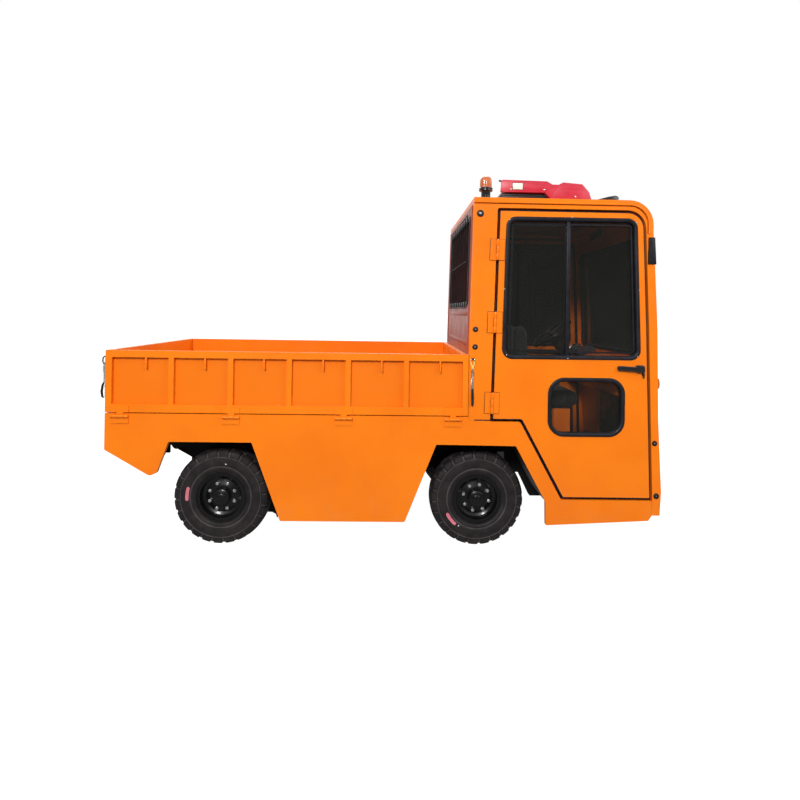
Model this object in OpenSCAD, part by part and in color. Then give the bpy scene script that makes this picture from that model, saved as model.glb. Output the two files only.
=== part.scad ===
// Electric platform tow tractor: closed cab at the front, drop-side load bed behind it.
// Frame: +X towards the front, +Y to the vehicle's left, +Z up. The origin is on the ground under
// the middle of the overall box. Lengths are in millimetres.

/* [Body] */
// Half width over the side sheets
half_w = 725; // [690:5:760]
// Thickness of the skirt sheets
skirt_t = 30; // [20:1:40]
// Height of the load bed's top above the ground, before ride_lift
bed_z = 806; // [800:1:812]
// Thickness of the load bed
bed_t = 40; // [30:1:50]
// Rear face of the load bed
bed_x0 = -1686; // [-1690:1:-1680]
// Front end of the load bed
bed_x1 = 513; // [511:1:520]

/* [Drop sides] */
// Top edge of the drop sides and the tailgate, before ride_lift
board_top = 1187; // [1150:1:1220]
// Thickness of a drop side
board_t = 34; // [30:1:36]
// Gap under a drop side
board_gap = 6; // [5:1:10]
// Distance of a hinge pin outside the sheet that carries it
pin_out = 12; // [11:1:16]
// Height of the drop-side hinge pins, before ride_lift
board_pin_z = 790; // [780:1:795]
// Radius of a hinge knuckle
knuckle_r = 9; // [8:0.5:9]
// Depth of the pressed panels in a drop side
panel_d = 26; // [6:1:26]

/* [Cab] */
// Thickness of the cab's side frame
post_t = 60; // [50:1:70]
// Thickness of a door
door_t = 40; // [30:1:45]
// Gap around a door
door_gap = 14; // [8:1:14]
// Top of the roof, before ride_lift
roof_z = 2158; // [2150:1:2170]
// Thickness of the roof shell
roof_t = 34; // [28:1:40]
// Radius of the roof's front corner
roof_r = 150; // [140:1:160]
// Thickness of the window glass
glass_t = 8; // [6:1:10]

/* [Wheels] */
// Rise of the whole body on its springs over the wheels
ride_lift = 24; // [20:1:28]
// Radius of a tyre
tyre_r = 297; // [290:1:300]
// Width of a tyre
tyre_w = 176; // [165:1:180]
// Radius of the rim barrel
rim_r = 142; // [135:1:146]
// Middle of the front wheels along the vehicle
front_x = 589; // [584:1:594]
// Middle of the rear wheels along the vehicle
rear_x = -1010; // [-1015:1:-1005]
// Distance of a wheel's middle plane from the centre line
wheel_y = 552; // [546:1:556]
// Distance of a kingpin from the centre line
kingpin_y = 455; // [450:1:460]
// Radius of a kingpin
kingpin_r = 14; // [12:1:16]
// Radial clearance of a running fit
fit = 0.05; // [0.02:0.01:0.1]

/* [Towing] */
// Radius of the tow jaw's pin hole
jaw_r = 16; // [13:0.5:20]

/* [Hidden] */
$fn = 64;

orange = [0.93, 0.43, 0.07];
black = [0.09, 0.09, 0.10];
steel = [0.22, 0.22, 0.24];

// Outlines are tables of corners, anticlockwise in the X-Z plane. Columns: x, z, corner radius.

// Middle line of the gap around a door
door_line = [[657, 785, 6], [841, 785, 10], [1102, 307, 22], [1660, 304, 8], [1648, 650, 0],
  [1624, 1360, 0], [1592, 2088, 108], [685, 2087, 6]];
// Upper and lower windows of a door, over their rubber seals
upper_window = [[719, 1169, 60], [1579, 1170, 60], [1545, 2041, 60], [737, 2039, 60]];
lower_window = [[1010, 694, 98], [1483, 694, 98], [1483, 1051, 98], [1010, 1051, 98]];
// Front edge of the cab in side view, from the bottom up
front_line = [[1715, 206], [1722, 350], [1697, 805], [1684, 1361], [1660, 1801], [1651, 1952]];
// Lower edge of a skirt in side view, from the rear to the front, with both wheel arches
skirt_line = [[bed_x0, 585, 8], [-1414, 428, 30], [-1372, 447, 6], [-1304, 636, 10],
  [-804, 636, 10], [-625, 160, 12], [134, 158, 12], [322, 634, 10], [813, 629, 10],
  [1001, 287, 8], [1004, 143, 6], [1643, 173, 6], [1664, 202, 0]];
// Wheel arches: the part of the skirt's lower edge that each guard follows
rear_arch = [[-1304, 636], [-804, 636], [-625, 160]];
front_arch = [[134, 158], [322, 634], [813, 629], [1001, 287]];
// Drop-side hinges along the bed, and tailgate hinges across it
board_hinges = [-1594, -929, -247, 422];
gate_hinges = [-470, 470];
hinge_w = 104;
leaf_t = 6;
// Door hinges, as heights above the door's lower rear corner along its leaning pin line
door_hinges = [109, 604.5, 1051];
door_lean = atan((685 - 657) / (2087 - 785));
// Raised posts of a drop side, from the rear to the front
board_posts = [bed_x0, -1310, -953, -599, -240, 116, 478];

// Edge of the rear door post beside the door's gap
post_x = 657 - door_gap / 2;
inner_y = half_w - post_t;
end_y = half_w - board_t - 6;
board_z0 = bed_z + board_gap;
pin_y = half_w + pin_out;
wheel_z = tyre_r;

function unit(v) = v / norm(v);
function at(t, i) = t[(i + len(t)) % len(t)];
function xy(p) = [p[0], p[1]];

// A corner table moved outwards by d all round
function grown(t, d) = [for (i = [0:len(t) - 1])
  let (a = unit(xy(t[i]) - xy(at(t, i - 1))), b = unit(xy(at(t, i + 1)) - xy(t[i])),
       na = [a[1], -a[0]], nb = [b[1], -b[0]], k = d / (1 + na * nb),
       left = a[0] * b[1] - a[1] * b[0])
  [t[i][0] + (na[0] + nb[0]) * k, t[i][1] + (na[1] + nb[1]) * k,
   t[i][2] == 0 ? 0 : max(t[i][2] + (left > 0 ? d : -d), 0.5)]];

// A corner table's outline, each corner rounded by n chords
function rounded(t, n = 7) = [for (i = [0:len(t) - 1])
  let (p = xy(t[i]), u = unit(xy(at(t, i - 1)) - p), v = unit(xy(at(t, i + 1)) - p), r = t[i][2])
  each (r < 0.4 || u * v < -0.9998 ? [p] :
    let (half = acos(u * v) / 2, c = p + unit(u + v) * r / sin(half),
         s = p + u * r / tan(half) - c, e = p + v * r / tan(half) - c,
         a0 = atan2(s[1], s[0]), turn = atan2(s[0] * e[1] - s[1] * e[0], s * e))
    [for (k = [0:n]) c + r * [cos(a0 + turn * k / n), sin(a0 + turn * k / n)]])];

// A plate with an outline in the X-Z plane, from y0 to y1
module plate(outline, y0, y1)
  translate([0, y1, 0]) rotate([90, 0, 0]) linear_extrude(y1 - y0) polygon(outline);

// A box from its lowest corner to its highest corner
module block(lo, hi) translate(lo) cube(hi - lo);

// The body, lifted on its springs
module raised() translate([0, 0, ride_lift]) children();

// The same shape on the right-hand side (1) and mirrored on the left-hand side (-1)
module on_side(side) { if (side > 0) children(); else mirror([0, 1, 0]) children(); }
module both_sides() { children(); mirror([0, 1, 0]) children(); }

module pipe(r_out, r_in, h) difference() {
  cylinder(r = r_out, h = h);
  translate([0, 0, -1]) cylinder(r = r_in, h = h + 2);
}

// ---------------------------------------------------------------- chassis

rail_line = [[-1640, 520], [838, 520], [1000, 195], [1640, 195], [1640, 285], [1022, 285],
  [830, 645], [-1640, 645]];
// Cross members between the rails. Columns: x0, x1, z0, z1
cross_members = [[-1632, -1572, 540, 625], [-1240, -1180, 560, 620], [-730, -670, 540, 625],
  [100, 160, 540, 625], [480, 540, 560, 625], [1080, 1140, 200, 280], [1560, 1620, 200, 280]];
// Bearers under the load bed. Columns: x0, x1
bearers = [[-1630, -1580], [-1260, -1200], [-790, -730], [-330, -270], [130, 190], [450, 510]];

module chassis_frame() color(steel) {
  both_sides() plate(rail_line, -315, -265);
  for (m = cross_members) block([m[0], -270, m[2]], [m[1], 270, m[3]]);
  for (b = bearers) block([b[0], -690, 641], [b[1], 690, bed_z - bed_t]);
}

module bed_floor() color(orange)
  block([bed_x0 + 30, skirt_t - half_w, bed_z - bed_t], [bed_x1 - board_t, half_w - skirt_t, bed_z]);

module headboard() color(orange) difference() {
  block([bed_x1 - board_t, -end_y, bed_z - bed_t], [bed_x1, end_y, board_top]);
  for (y = [-520, -173, 174])
    block([bed_x1 - board_t - 1, y - 158, bed_z + 60], [bed_x1 - board_t + 10, y + 158, board_top - 45]);
}

// A row of knuckles on one pin: the leaf's side takes the middle or both ends
module hinge_knuckles(w, r, middle) {
  s = w * 0.36;
  if (middle) translate([0, 0, -s / 2]) cylinder(r = r, h = s);
  else for (d = [-1, 1]) translate([0, 0, d > 0 ? s / 2 + 0.6 : -w / 2]) cylinder(r = r, h = w / 2 - s / 2 - 0.6);
}

// Lower half of a drop-side hinge: local X runs along the pin, local Y towards the sheet
module skirt_hinge(w) {
  rotate([0, 90, 0]) hinge_knuckles(w, knuckle_r, false);
  block([-w / 2, pin_out - leaf_t, -44], [w / 2, pin_out, -10.5]);
  for (d = [-1, 1]) block([d > 0 ? w * 0.18 + 0.6 : -w / 2, pin_out - leaf_t, -12], [d > 0 ? w / 2 : -w * 0.18 - 0.6, pin_out, 0]);
}

// Upper half of a drop-side hinge
module board_hinge(w) {
  rotate([0, 90, 0]) hinge_knuckles(w, knuckle_r, true);
  block([-w / 2, pin_out - leaf_t, 22.5], [w / 2, pin_out, 60]);
  block([-w * 0.18, pin_out - leaf_t, 0], [w * 0.18, pin_out, 24]);
}

module skirt(side) color(orange) on_side(side) {
  line = concat(skirt_line, [[1664, 304 - door_gap / 2, 8]],
    [for (p = [grown(door_line, door_gap / 2)[2], grown(door_line, door_gap / 2)[1]]) [p[0], p[1], 12]],
    [[post_x, grown(door_line, door_gap / 2)[0][1], 0], [post_x, 786, 0], [bed_x1 + 3, 786, 0], [bed_x1 + 3, bed_z, 0], [bed_x0, bed_z, 0]]);
  plate(rounded(line), -half_w, skirt_t - half_w);
  for (x = board_hinges) translate([x, -pin_y, board_pin_z]) skirt_hinge(hinge_w);
}
module skirt_right() skirt(1);
module skirt_left() skirt(-1);

module rear_panel() color(orange) {
  difference() {
    block([bed_x0, skirt_t - half_w, 580], [bed_x0 + 30, half_w - skirt_t, bed_z]);
    block([bed_x0 - 1, -500, 610], [bed_x0 + 8, 500, 760]);
  }
  for (y = gate_hinges) translate([bed_x0 - pin_out, y, board_pin_z]) rotate([0, 0, -90]) skirt_hinge(hinge_w);
}

// Tow jaw: two ears and a back plate under the rear cross member. Columns: z0, z1 of an ear
jaw_ears = [[370, 392], [432, 454]];
jaw_x = -1677;
module tow_hitch() color(black) {
  block([-1650, -75, 360], [-1626, 75, 520]);
  block([-1650, -75, 500], [-1590, 75, 520]);
  for (s = [-1, 1]) block([-1626, s * 66 - 9, 375], [-1590, s * 66 + 9, 500]);
  for (e = jaw_ears) difference() {
    union() {
      block([jaw_x, -45, e[0]], [-1650, 45, e[1]]);
      translate([jaw_x, 0, e[0]]) cylinder(r = 45, h = e[1] - e[0]);
    }
    translate([jaw_x, 0, e[0] - 1]) cylinder(r = jaw_r, h = e[1] - e[0] + 2);
  }
}

module battery() color(black) block([-640, -255, 330], [60, 255, 636]);

// Guard over a wheel: a sheet that follows the arch's edge
module guard(arch, inner) {
  t = [for (p = arch) [p[0], p[1], 0]];
  g = [for (i = [0:len(t) - 1])
    let (a = i > 0 ? unit(xy(t[i]) - xy(t[i - 1])) : unit(xy(t[1]) - xy(t[0])),
         b = i < len(t) - 1 ? unit(xy(t[i + 1]) - xy(t[i])) : a,
         n = [-a[1] - b[1], a[0] + b[0]])
    xy(t[i]) + n * 5 / (1 + a * b)];
  plate(concat([for (p = t) xy(p)], [for (i = [len(g) - 1:-1:0]) g[i]]), skirt_t - half_w, -inner);
}
module wheel_arch_guards() color(black) both_sides() {
  guard(rear_arch, 330);
  guard(front_arch, 330);
}

// ---------------------------------------------------------------- running gear

// Leaf spring pack on an axle's seat at height z, with half length l and thickness t. Columns:
// half length of a step as a share of l, thickness of the pack over it
module spring_pack(x, z, l, t) translate([x, 0, z + t]) {
  leaf_steps = [[0.46, t], [0.73, (t + 14) / 2], [1, 14]];
  rise = 515 + ride_lift - z - t;
  top = [for (k = [10:-1:-10]) [l * k / 10, rise * k * k / 100]];
  half = [for (i = [2:-1:0]) each [for (e = i == 0 ? [leaf_steps[0][0], 0.22, 0] : [leaf_steps[i][0], leaf_steps[i - 1][0]])
    [e * l, rise * e * e - leaf_steps[i][1]]]];
  plate(concat(top, [for (p = half) [-p[0], p[1]]], [for (i = [len(half) - 2:-1:0]) half[i]]), -315, -265);
  for (s = [-1, 1]) block([s * (l - 12) - 10, -315, rise - 20], [s * (l - 12) + 10, -265, 520 + ride_lift - z - t]);
}
module leaf_springs() color(black) both_sides() {
  spring_pack(front_x, 323, 240, 42);
  spring_pack(rear_x, 342, 400, 70);
}

// Brake drum and spindle that carry a wheel; local Z points outwards from the wheel's inner side
hub_bore = 30;
hub_depth = 30;
module hub_end(h0) {
  translate([0, 0, h0]) cylinder(r = 112, h = 20 - h0);
  translate([0, 0, 20]) cylinder(r = 60, h = 8);
  translate([0, 0, 28]) cylinder(r = hub_bore, h = hub_depth + 3);
}
// Places a wheel part: local Z points outwards, local origin in the wheel's middle plane
module at_wheel(x, side) translate([x, -side * wheel_y, wheel_z]) rotate([side * 90, 0, 0]) children();

module front_axle() color(black) {
  block([front_x - 35, -396, 263], [front_x + 35, 396, 323]);
  both_sides() {
    for (z = [[228, 250], [336, 358]]) {
      block([front_x - 35, -kingpin_y, z[0]], [front_x + 35, -390, z[1]]);
      translate([front_x, -kingpin_y, z[0]]) cylinder(r = 35, h = z[1] - z[0]);
    }
    block([front_x - 35, -400, 228], [front_x + 35, -380, 358]);
    translate([front_x, -kingpin_y, 240]) cylinder(r = kingpin_r, h = 106);
  }
}

arm_l = 150;
arm_y = kingpin_y - 22;
module knuckle(side) color(steel) on_side(side) difference() {
  union() {
    translate([front_x, -kingpin_y, 256]) cylinder(r = 30, h = 74);
    translate([front_x, -kingpin_y, wheel_z]) rotate([90, 0, 0]) cylinder(r = 28, h = 45);
    at_wheel(front_x, 1) hub_end(-62);
    block([front_x - arm_l, -kingpin_y - 5, 257], [front_x, -kingpin_y + 27, 277]);
    translate([front_x - arm_l, -arm_y, 257]) cylinder(r = 18, h = 20);
  }
  translate([front_x, -kingpin_y, 250]) cylinder(r = kingpin_r + fit, h = 90);
}
module right_knuckle() knuckle(1);
module left_knuckle() knuckle(-1);

module tie_rod() color(steel) {
  translate([front_x - arm_l, 390, 244]) rotate([90, 0, 0]) cylinder(r = 10, h = 780);
  both_sides() {
    translate([front_x - arm_l, -arm_y, 234]) cylinder(r = 18, h = 20);
    block([front_x - arm_l - 10, -arm_y, 234], [front_x - arm_l + 10, -385, 254]);
  }
}

module drive_axle() color(black) {
  translate([rear_x, 470, wheel_z]) rotate([90, 0, 0]) cylinder(r = 45, h = 940);
  both_sides() at_wheel(rear_x, 1) hub_end(-85);
  translate([rear_x, 0, wheel_z]) sphere(r = 128);
  translate([rear_x + 90, 0, wheel_z]) rotate([0, 90, 0]) cylinder(r = 112, h = 230);
  translate([rear_x, 0, wheel_z]) rotate([90, 0, 0]) translate([0, 0, -90]) cylinder(r = 100, h = 180);
}

// Tyre section: columns: distance from the middle plane, radius
h_w = tyre_w / 2;
tyre_side = [[75, rim_r + 0.3], [75, rim_r + 12], [84, 175], [h_w, 205], [h_w, 232], [87, 268], [83, 285], [72, 293.5], [40, tyre_r]];
module tyre(x, side) color(black) at_wheel(x, side) rotate_extrude($fn = 96)
  polygon(concat([for (p = tyre_side) [p[1], p[0]]], [for (i = [len(tyre_side) - 1:-1:0]) [tyre_side[i][1], -tyre_side[i][0]]]));

// Rim section: the barrel, both flanges and the dished disc with its hub
module rim(x, side) color([0.05, 0.05, 0.055]) at_wheel(x, side) difference() {
  rotate_extrude($fn = 96) polygon([[0, 34], [48, 34], [60, 34], [104, 26], [122, 34], [127, 34], [127, -82],
    [152, -82], [152, -75.3], [rim_r, -75.3], [rim_r, 75.3], [152, 75.3], [152, 82], [131, 82], [127, 62],
    [127, 44], [120, 44], [104, 36], [66, 48], [50, 48], [48, 78], [30, 84], [0, 86]]);
  translate([0, 0, 33]) cylinder(r = hub_bore + 0.3, h = hub_depth + 2);
}
module front_right_tyre() tyre(front_x, 1);
module front_right_rim() rim(front_x, 1);
module front_left_tyre() tyre(front_x, -1);
module front_left_rim() rim(front_x, -1);
module rear_right_tyre() tyre(rear_x, 1);
module rear_right_rim() rim(rear_x, 1);
module rear_left_tyre() tyre(rear_x, -1);
module rear_left_rim() rim(rear_x, -1);

// ---------------------------------------------------------------- cab

corner_x = front_line[5][0] - roof_r;
corner_z = roof_z - roof_r;
function arc_points(r, a0, a1, n = 8) = [for (k = [0:n])
  [corner_x + r * cos(a0 + (a1 - a0) * k / n), corner_z + r * sin(a0 + (a1 - a0) * k / n)]];

// Side frame: rear post, roof rail and front post, open at the bottom
side_top = roof_z - roof_t;
// Outline of the side frame; gap is a joint left open under the roof
function frame_line(gap) = concat([[bed_x1 + 3, 786.5], [post_x, 786.5], [post_x, 700], [1664, 296], [1664, 206]],
  [for (i = [0:4]) front_line[i]], [[1651, 1950], [corner_x + roof_r - roof_t - gap, 1950]],
  arc_points(roof_r - roof_t - gap, 0, 90), [[532, side_top - gap], [bed_x1 + 3, 1266]]);
module cab_side(side) color(orange) on_side(side) {
  difference() {
    union() {
      plate(frame_line(6), -half_w, 25 - half_w);
      plate(frame_line(0), 25 - half_w, -inner_y);
    }
    plate(rounded([[580, 190, 0], [1664, 190, 0], for (i = [3:7]) grown(door_line, door_gap / 2)[i], [post_x, 786.5, 0], [580, 786.5, 0]]), -half_w - 1, 1 - inner_y);
  }
  door_hinge_set(-1);
}

// Door hinges on the leaning pin line: way -1 is the post's leaf, 1 the door's leaf
module door_hinge_set(way) translate([657, -pin_y, 785]) rotate([0, door_lean, 0])
  for (h = door_hinges) translate([0, 0, h]) {
    hinge_knuckles(128, knuckle_r, way > 0);
    if (way > 0) {
      block([9.5, pin_out - leaf_t, -64], [44, pin_out + 0.5, 64]);
      block([0, pin_out - leaf_t, -20], [12, pin_out + 0.5, 20]);
    } else {
      block([-44, pin_out - leaf_t, -64], [-9.5, pin_out + 0.5, 64]);
      for (d = [-1, 1]) block([-12, pin_out - leaf_t, d > 0 ? 27 : -61], [0, pin_out + 0.5, d > 0 ? 61 : -27]);
    }
  }
module cab_side_right() cab_side(1);
module cab_side_left() cab_side(-1);

module cab_roof() color(orange) plate(concat([[532, side_top]], arc_points(roof_r - roof_t, 90, 0),
  [[corner_x + roof_r - roof_t, 1951], [1651, 1951]], arc_points(roof_r, 0, 90), [[533, roof_z]]), -half_w, half_w);

// Rear wall: upright behind the seats, then leaning forward to the roof
function wall_x(z) = lookup(z, [[1266, bed_x1 + 3], [side_top, 532]]);
module cab_rear_wall() color(orange) difference() {
  plate([[bed_x1 + 3, 681], [bed_x1 + 38, 681], [bed_x1 + 38, 1266], [567, side_top], [532, side_top], [bed_x1 + 3, 1266]], -inner_y, inner_y);
  block([480, -575, 1500], [620, 575, 2060]);
}
module rear_window() color([0.2, 0.2, 0.22])
  plate([[wall_x(1500) + 12, 1500], [wall_x(1500) + 20, 1500], [wall_x(2060) + 20, 2060], [wall_x(2060) + 12, 2060]], -575, 575);

screen_z0 = 1190;
screen_z1 = 1938;
function front_at(z) = lookup(z, [for (p = front_line) [p[1], p[0]]]);
module cab_front() color(orange) difference() {
  plate(concat([for (i = [0:4]) front_line[i]], [[1651, 1950], [1625, 1950]],
    [for (i = [4:-1:0]) [front_line[i][0] - 26, front_line[i][1]]]), -inner_y, inner_y);
  block([1600, -615, screen_z0], [1760, 615, screen_z1]);
}
module windscreen() color([0.2, 0.2, 0.22]) plate(concat(
  [for (z = [screen_z0, 1361, 1801, screen_z1]) [front_at(z) - 12, z]],
  [for (z = [screen_z1, 1801, 1361, screen_z0]) [front_at(z) - 20, z]]), -615, 615);

// Floor: raised over the front wheels, then down to the footwell
module cab_floor() color(steel) plate([[bed_x1 + 3, 646], [838, 646], [1030, 290], [1690, 290], [1690, 326], [1050, 326], [858, 680], [bed_x1 + 3, 680]], -inner_y, inner_y);

module dashboard() color(black) {
  plate([[1524, 900], [1660, 880], [1656, 1150], [1594, 1165], [1494, 1120], [1484, 1060]], -inner_y, inner_y);
  translate([1554, 300, 1140]) rotate([90, 0, 0]) translate([0, 0, -130]) cylinder(r = 60, h = 260);
}

module seat_box() color(black) plate([[556, 681], [859, 681], [1051, 327], [1185, 327], [1185, 843], [556, 843]], -600, 600);

seat_y = 330;
module seat_cushions() color(black) both_sides()
  plate(rounded([[845, 844, 15], [1268, 844, 20], [1273, 945, 35], [845, 935, 15]]), -seat_y - 225, -seat_y + 225);
module seat_backs() color(black) both_sides()
  plate(rounded([[855, 948, 15], [928, 950, 20], [908, 1384, 30], [835, 1384, 30]]), -seat_y - 225, -seat_y + 225);

// Steering wheel and column: the column leans forward and down
steer_c = [1308, 300, 1292];
steer_tilt = 37;
module on_column() translate(steer_c) rotate([0, -steer_tilt, 0]) children();
module steering_wheel() color(black) on_column() {
  rotate_extrude() translate([165, 0]) circle(r = 13, $fn = 24);
  for (a = [30, 150, 270]) rotate([0, 0, a]) translate([20, -14, -7]) cube([142, 28, 9]);
  translate([0, 0, -30]) cylinder(r = 38, h = 36);
}
module steering_column() color(black) difference() {
  on_column() {
    translate([0, 0, -300]) cylinder(r = 26, h = 268);
    translate([0, 0, -150]) cylinder(r = 40, h = 90);
  }
  dashboard();
}

// Pedals on the footwell floor. Columns: y, width, height
pedal_table = [[210, 60, 120], [330, 90, 120], [430, 60, 90]];
module pedals() color(black) for (p = pedal_table) {
  block([1494, p[0] - 8, 326], [1524, p[0] + 8, 342]);
  plate([[1510, 340], [1524, 340], [1594, 340 + p[2]], [1584, 340 + p[2]]], p[0] - 8, p[0] + 8);
  translate([1590, p[0] - p[1] / 2, 326 + p[2] + 10]) rotate([0, 30, 0]) cube([10, p[1], 60]);
}

// ---------------------------------------------------------------- roof fittings and lamps

beacon_x = 615;
module beacon() color([0.85, 0.45, 0.2]) translate([beacon_x, -640, roof_z]) {
  cylinder(r = 30, h = 52);
  translate([0, 0, 52]) cylinder(r = 42, h = 20);
  translate([0, 0, 72]) cylinder(r = 36, h = 50);
  translate([0, 0, 122]) intersection() { scale([1, 1, 1]) sphere(r = 36); translate([0, 0, 0]) cylinder(r = 40, h = 24); }
}

ac_half = 350;
ac_cover = [[757, 2272, 4], [1065, 2272, 4], [1105, 2232, 10], [1155, roof_z, 4], [1412, roof_z, 6], [1372, 2282, 20], [1324, 2336, 16],
  [1190, 2347, 12], [1162, 2331, 10], [1120, 2331, 10], [1080, 2353, 12], [768, 2358, 14]];
// The cover seen from above: its rear end is set back between two cheeks
ac_plan = [[757, -351, 0], [772, -316, 0], [845, -270, 0], [845, 270, 0], [772, 316, 0], [757, 351, 0], [1440, 351, 0], [1440, -351, 0]];
module roof_ac_unit() color([0.85, 0.15, 0.25]) {
  intersection() {
    plate(rounded(ac_cover, 3), -ac_half, ac_half);
    translate([690, 0, 0]) rotate([90, 0, 90]) linear_extrude(800)
      polygon(rounded([[-ac_half, roof_z - 1, 0], [ac_half, roof_z - 1, 0], [ac_half - 20, 2358, 40], [20 - ac_half, 2358, 40]], 3));
    linear_extrude(2400) polygon([for (p = ac_plan) xy(p)]);
  }
  block([776, -326, roof_z], [1100, 326, 2272]);
}

lamp_y = 470;
lamp_z = 845;
// Headlamps, small corner markers on the front posts and tail lamps
module lamps() color([0.9, 0.9, 0.9]) both_sides() {
  difference() {
    union() {
      translate([1680, -lamp_y, lamp_z]) rotate([0, 90, 0]) cylinder(r = 82, h = 38);
      block([1680, -half_w, 990], [1706, 30 - half_w, 1058]);
    }
    plate([[1600, 600], [front_at(600), 600], [front_at(805), 805], [front_at(1100), 1100], [1600, 1100]], -half_w - 1, -300);
  }
  block([bed_x0 - 14, -680, 640], [bed_x0, -530, 740]);
}

// ---------------------------------------------------------------- doors

module door(side) color(orange) on_side(side) {
  difference() {
    plate(rounded(grown(door_line, -door_gap / 2)), -half_w, door_t - half_w);
    plate(rounded(upper_window), -half_w - 1, door_t - half_w + 1);
    plate(rounded(lower_window), -half_w - 1, door_t - half_w + 1);
  }
  door_hinge_set(1);
}
module door_glass(side) color([0.2, 0.2, 0.22]) on_side(side) {
  plate(rounded(upper_window), 14 - half_w, 14 + glass_t - half_w);
  plate(rounded(lower_window), 14 - half_w, 14 + glass_t - half_w);
}
module right_door() door(1);
module right_door_glass() door_glass(1);
module left_door() door(-1);
module left_door_glass() door_glass(-1);

// ---------------------------------------------------------------- drop sides

module side_board(side) color(orange) on_side(side) {
  difference() {
    block([bed_x0, -half_w, board_z0], [bed_x1, board_t - half_w, board_top]);
    for (i = [0:5]) block([board_posts[i] + (i == 0 ? 38 : 32), -half_w - 1, board_z0 + 50],
      [board_posts[i + 1], panel_d - half_w, board_top - 42]);
  }
  for (x = board_hinges) translate([x, -pin_y, board_pin_z]) board_hinge(hinge_w);
}
module right_side_board() side_board(1);
module left_side_board() side_board(-1);

module tailgate() color(orange) {
  difference() {
    block([bed_x0, -end_y, board_z0], [bed_x0 + board_t, end_y, board_top]);
    for (i = [-2:1]) block([bed_x0 - 1, i * 338 + 24, board_z0 + 50], [bed_x0 + panel_d, i * 338 + 314, board_top - 42]);
  }
  for (y = gate_hinges) translate([bed_x0 - pin_out, y, board_pin_z]) rotate([0, 0, -90]) board_hinge(hinge_w);
}

raised() chassis_frame();
raised() bed_floor();
raised() headboard();
raised() skirt_right();
raised() skirt_left();
raised() rear_panel();
raised() tow_hitch();
front_axle();
leaf_springs();
drive_axle();
raised() battery();
raised() wheel_arch_guards();
raised() cab_side_right();
raised() cab_side_left();
raised() cab_roof();
raised() cab_rear_wall();
raised() rear_window();
raised() cab_front();
raised() windscreen();
raised() cab_floor();
raised() dashboard();
raised() seat_box();
raised() seat_cushions();
raised() seat_backs();
raised() steering_column();
raised() pedals();
raised() beacon();
raised() roof_ac_unit();
raised() lamps();
raised() right_door();
raised() right_door_glass();
raised() left_door();
raised() left_door_glass();
raised() right_side_board();
raised() left_side_board();
raised() tailgate();
front_right_tyre();
front_right_rim();
front_left_tyre();
front_left_rim();
rear_right_tyre();
rear_right_rim();
rear_left_tyre();
rear_left_rim();
right_knuckle();
left_knuckle();
tie_rod();
raised() steering_wheel();
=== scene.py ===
import math

import bmesh
import bpy
from mathutils import Matrix, Vector


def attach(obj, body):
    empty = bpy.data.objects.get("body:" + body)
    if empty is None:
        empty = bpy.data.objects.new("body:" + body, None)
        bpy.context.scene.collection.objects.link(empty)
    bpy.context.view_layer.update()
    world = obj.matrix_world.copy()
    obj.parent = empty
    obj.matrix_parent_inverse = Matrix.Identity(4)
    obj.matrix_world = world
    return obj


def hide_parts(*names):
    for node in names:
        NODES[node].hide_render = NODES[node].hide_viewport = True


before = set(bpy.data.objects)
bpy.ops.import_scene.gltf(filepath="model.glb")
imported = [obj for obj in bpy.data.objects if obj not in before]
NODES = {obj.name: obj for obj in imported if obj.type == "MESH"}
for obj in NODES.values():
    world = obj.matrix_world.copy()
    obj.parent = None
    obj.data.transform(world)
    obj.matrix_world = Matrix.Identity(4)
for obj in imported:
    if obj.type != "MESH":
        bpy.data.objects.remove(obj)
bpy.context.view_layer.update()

# ------------------------------------------------------------------ tables, in millimetres, as in the part
HALF, DOOR_IN = 725, 685
DOOR = [[657, 785, 6], [841, 785, 10], [1102, 307, 22], [1660, 304, 8], [1648, 650, 0], [1624, 1360, 0], [1592, 2088, 108], [685, 2087, 6]]
UPPER = [[719, 1169, 60], [1579, 1170, 60], [1545, 2041, 60], [737, 2039, 60]]
LOWER = [[1010, 694, 98], [1483, 694, 98], [1483, 1051, 98], [1010, 1051, 98]]
FRONT = [[1715, 206], [1722, 350], [1697, 805], [1684, 1361], [1660, 1801], [1651, 1952]]
BED_X0, BED_X1, BOARD_TOP, BED_Z = -1686, 513, 1187, 806
FRONT_X, REAR_X, WHEEL_Y, WHEEL_Z = 589, -1010, 552, 297
LIFT = 24  # the body's rise on its springs: heights of body parts are written without it
SIDES = (("right", 1), ("left", -1))


def lookup(v, t):
    for (a, b), (c, d) in zip(t, t[1:]):
        if a <= v <= c:
            return b + (d - b) * (v - a) / (c - a)
    return t[0][1] if v < t[0][0] else t[-1][1]


def front_at(z):
    return lookup(z, [(p[1], p[0]) for p in FRONT])


def wall_x(z):
    return lookup(z, [(1266, 516), (2124, 532)])


def rounded(t, n=8):
    out = []
    for i, p in enumerate(t):
        c = Vector(p[:2])
        a, b = Vector(t[i - 1][:2]) - c, Vector(t[(i + 1) % len(t)][:2]) - c
        u, v, r = a.normalized(), b.normalized(), p[2]
        d = max(-1.0, min(1.0, u.dot(v)))
        if r < 0.4 or d < -0.9998:
            out.append((c.x, c.y))
            continue
        half = math.acos(d) / 2
        m = c + (u + v).normalized() * r / math.sin(half)
        s, e = c + u * r / math.tan(half) - m, c + v * r / math.tan(half) - m
        a0 = math.atan2(s.y, s.x)
        turn = math.atan2(s.x * e.y - s.y * e.x, s.dot(e))
        out += [(m.x + r * math.cos(a0 + turn * k / n), m.y + r * math.sin(a0 + turn * k / n)) for k in range(n + 1)]
    return out


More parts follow.
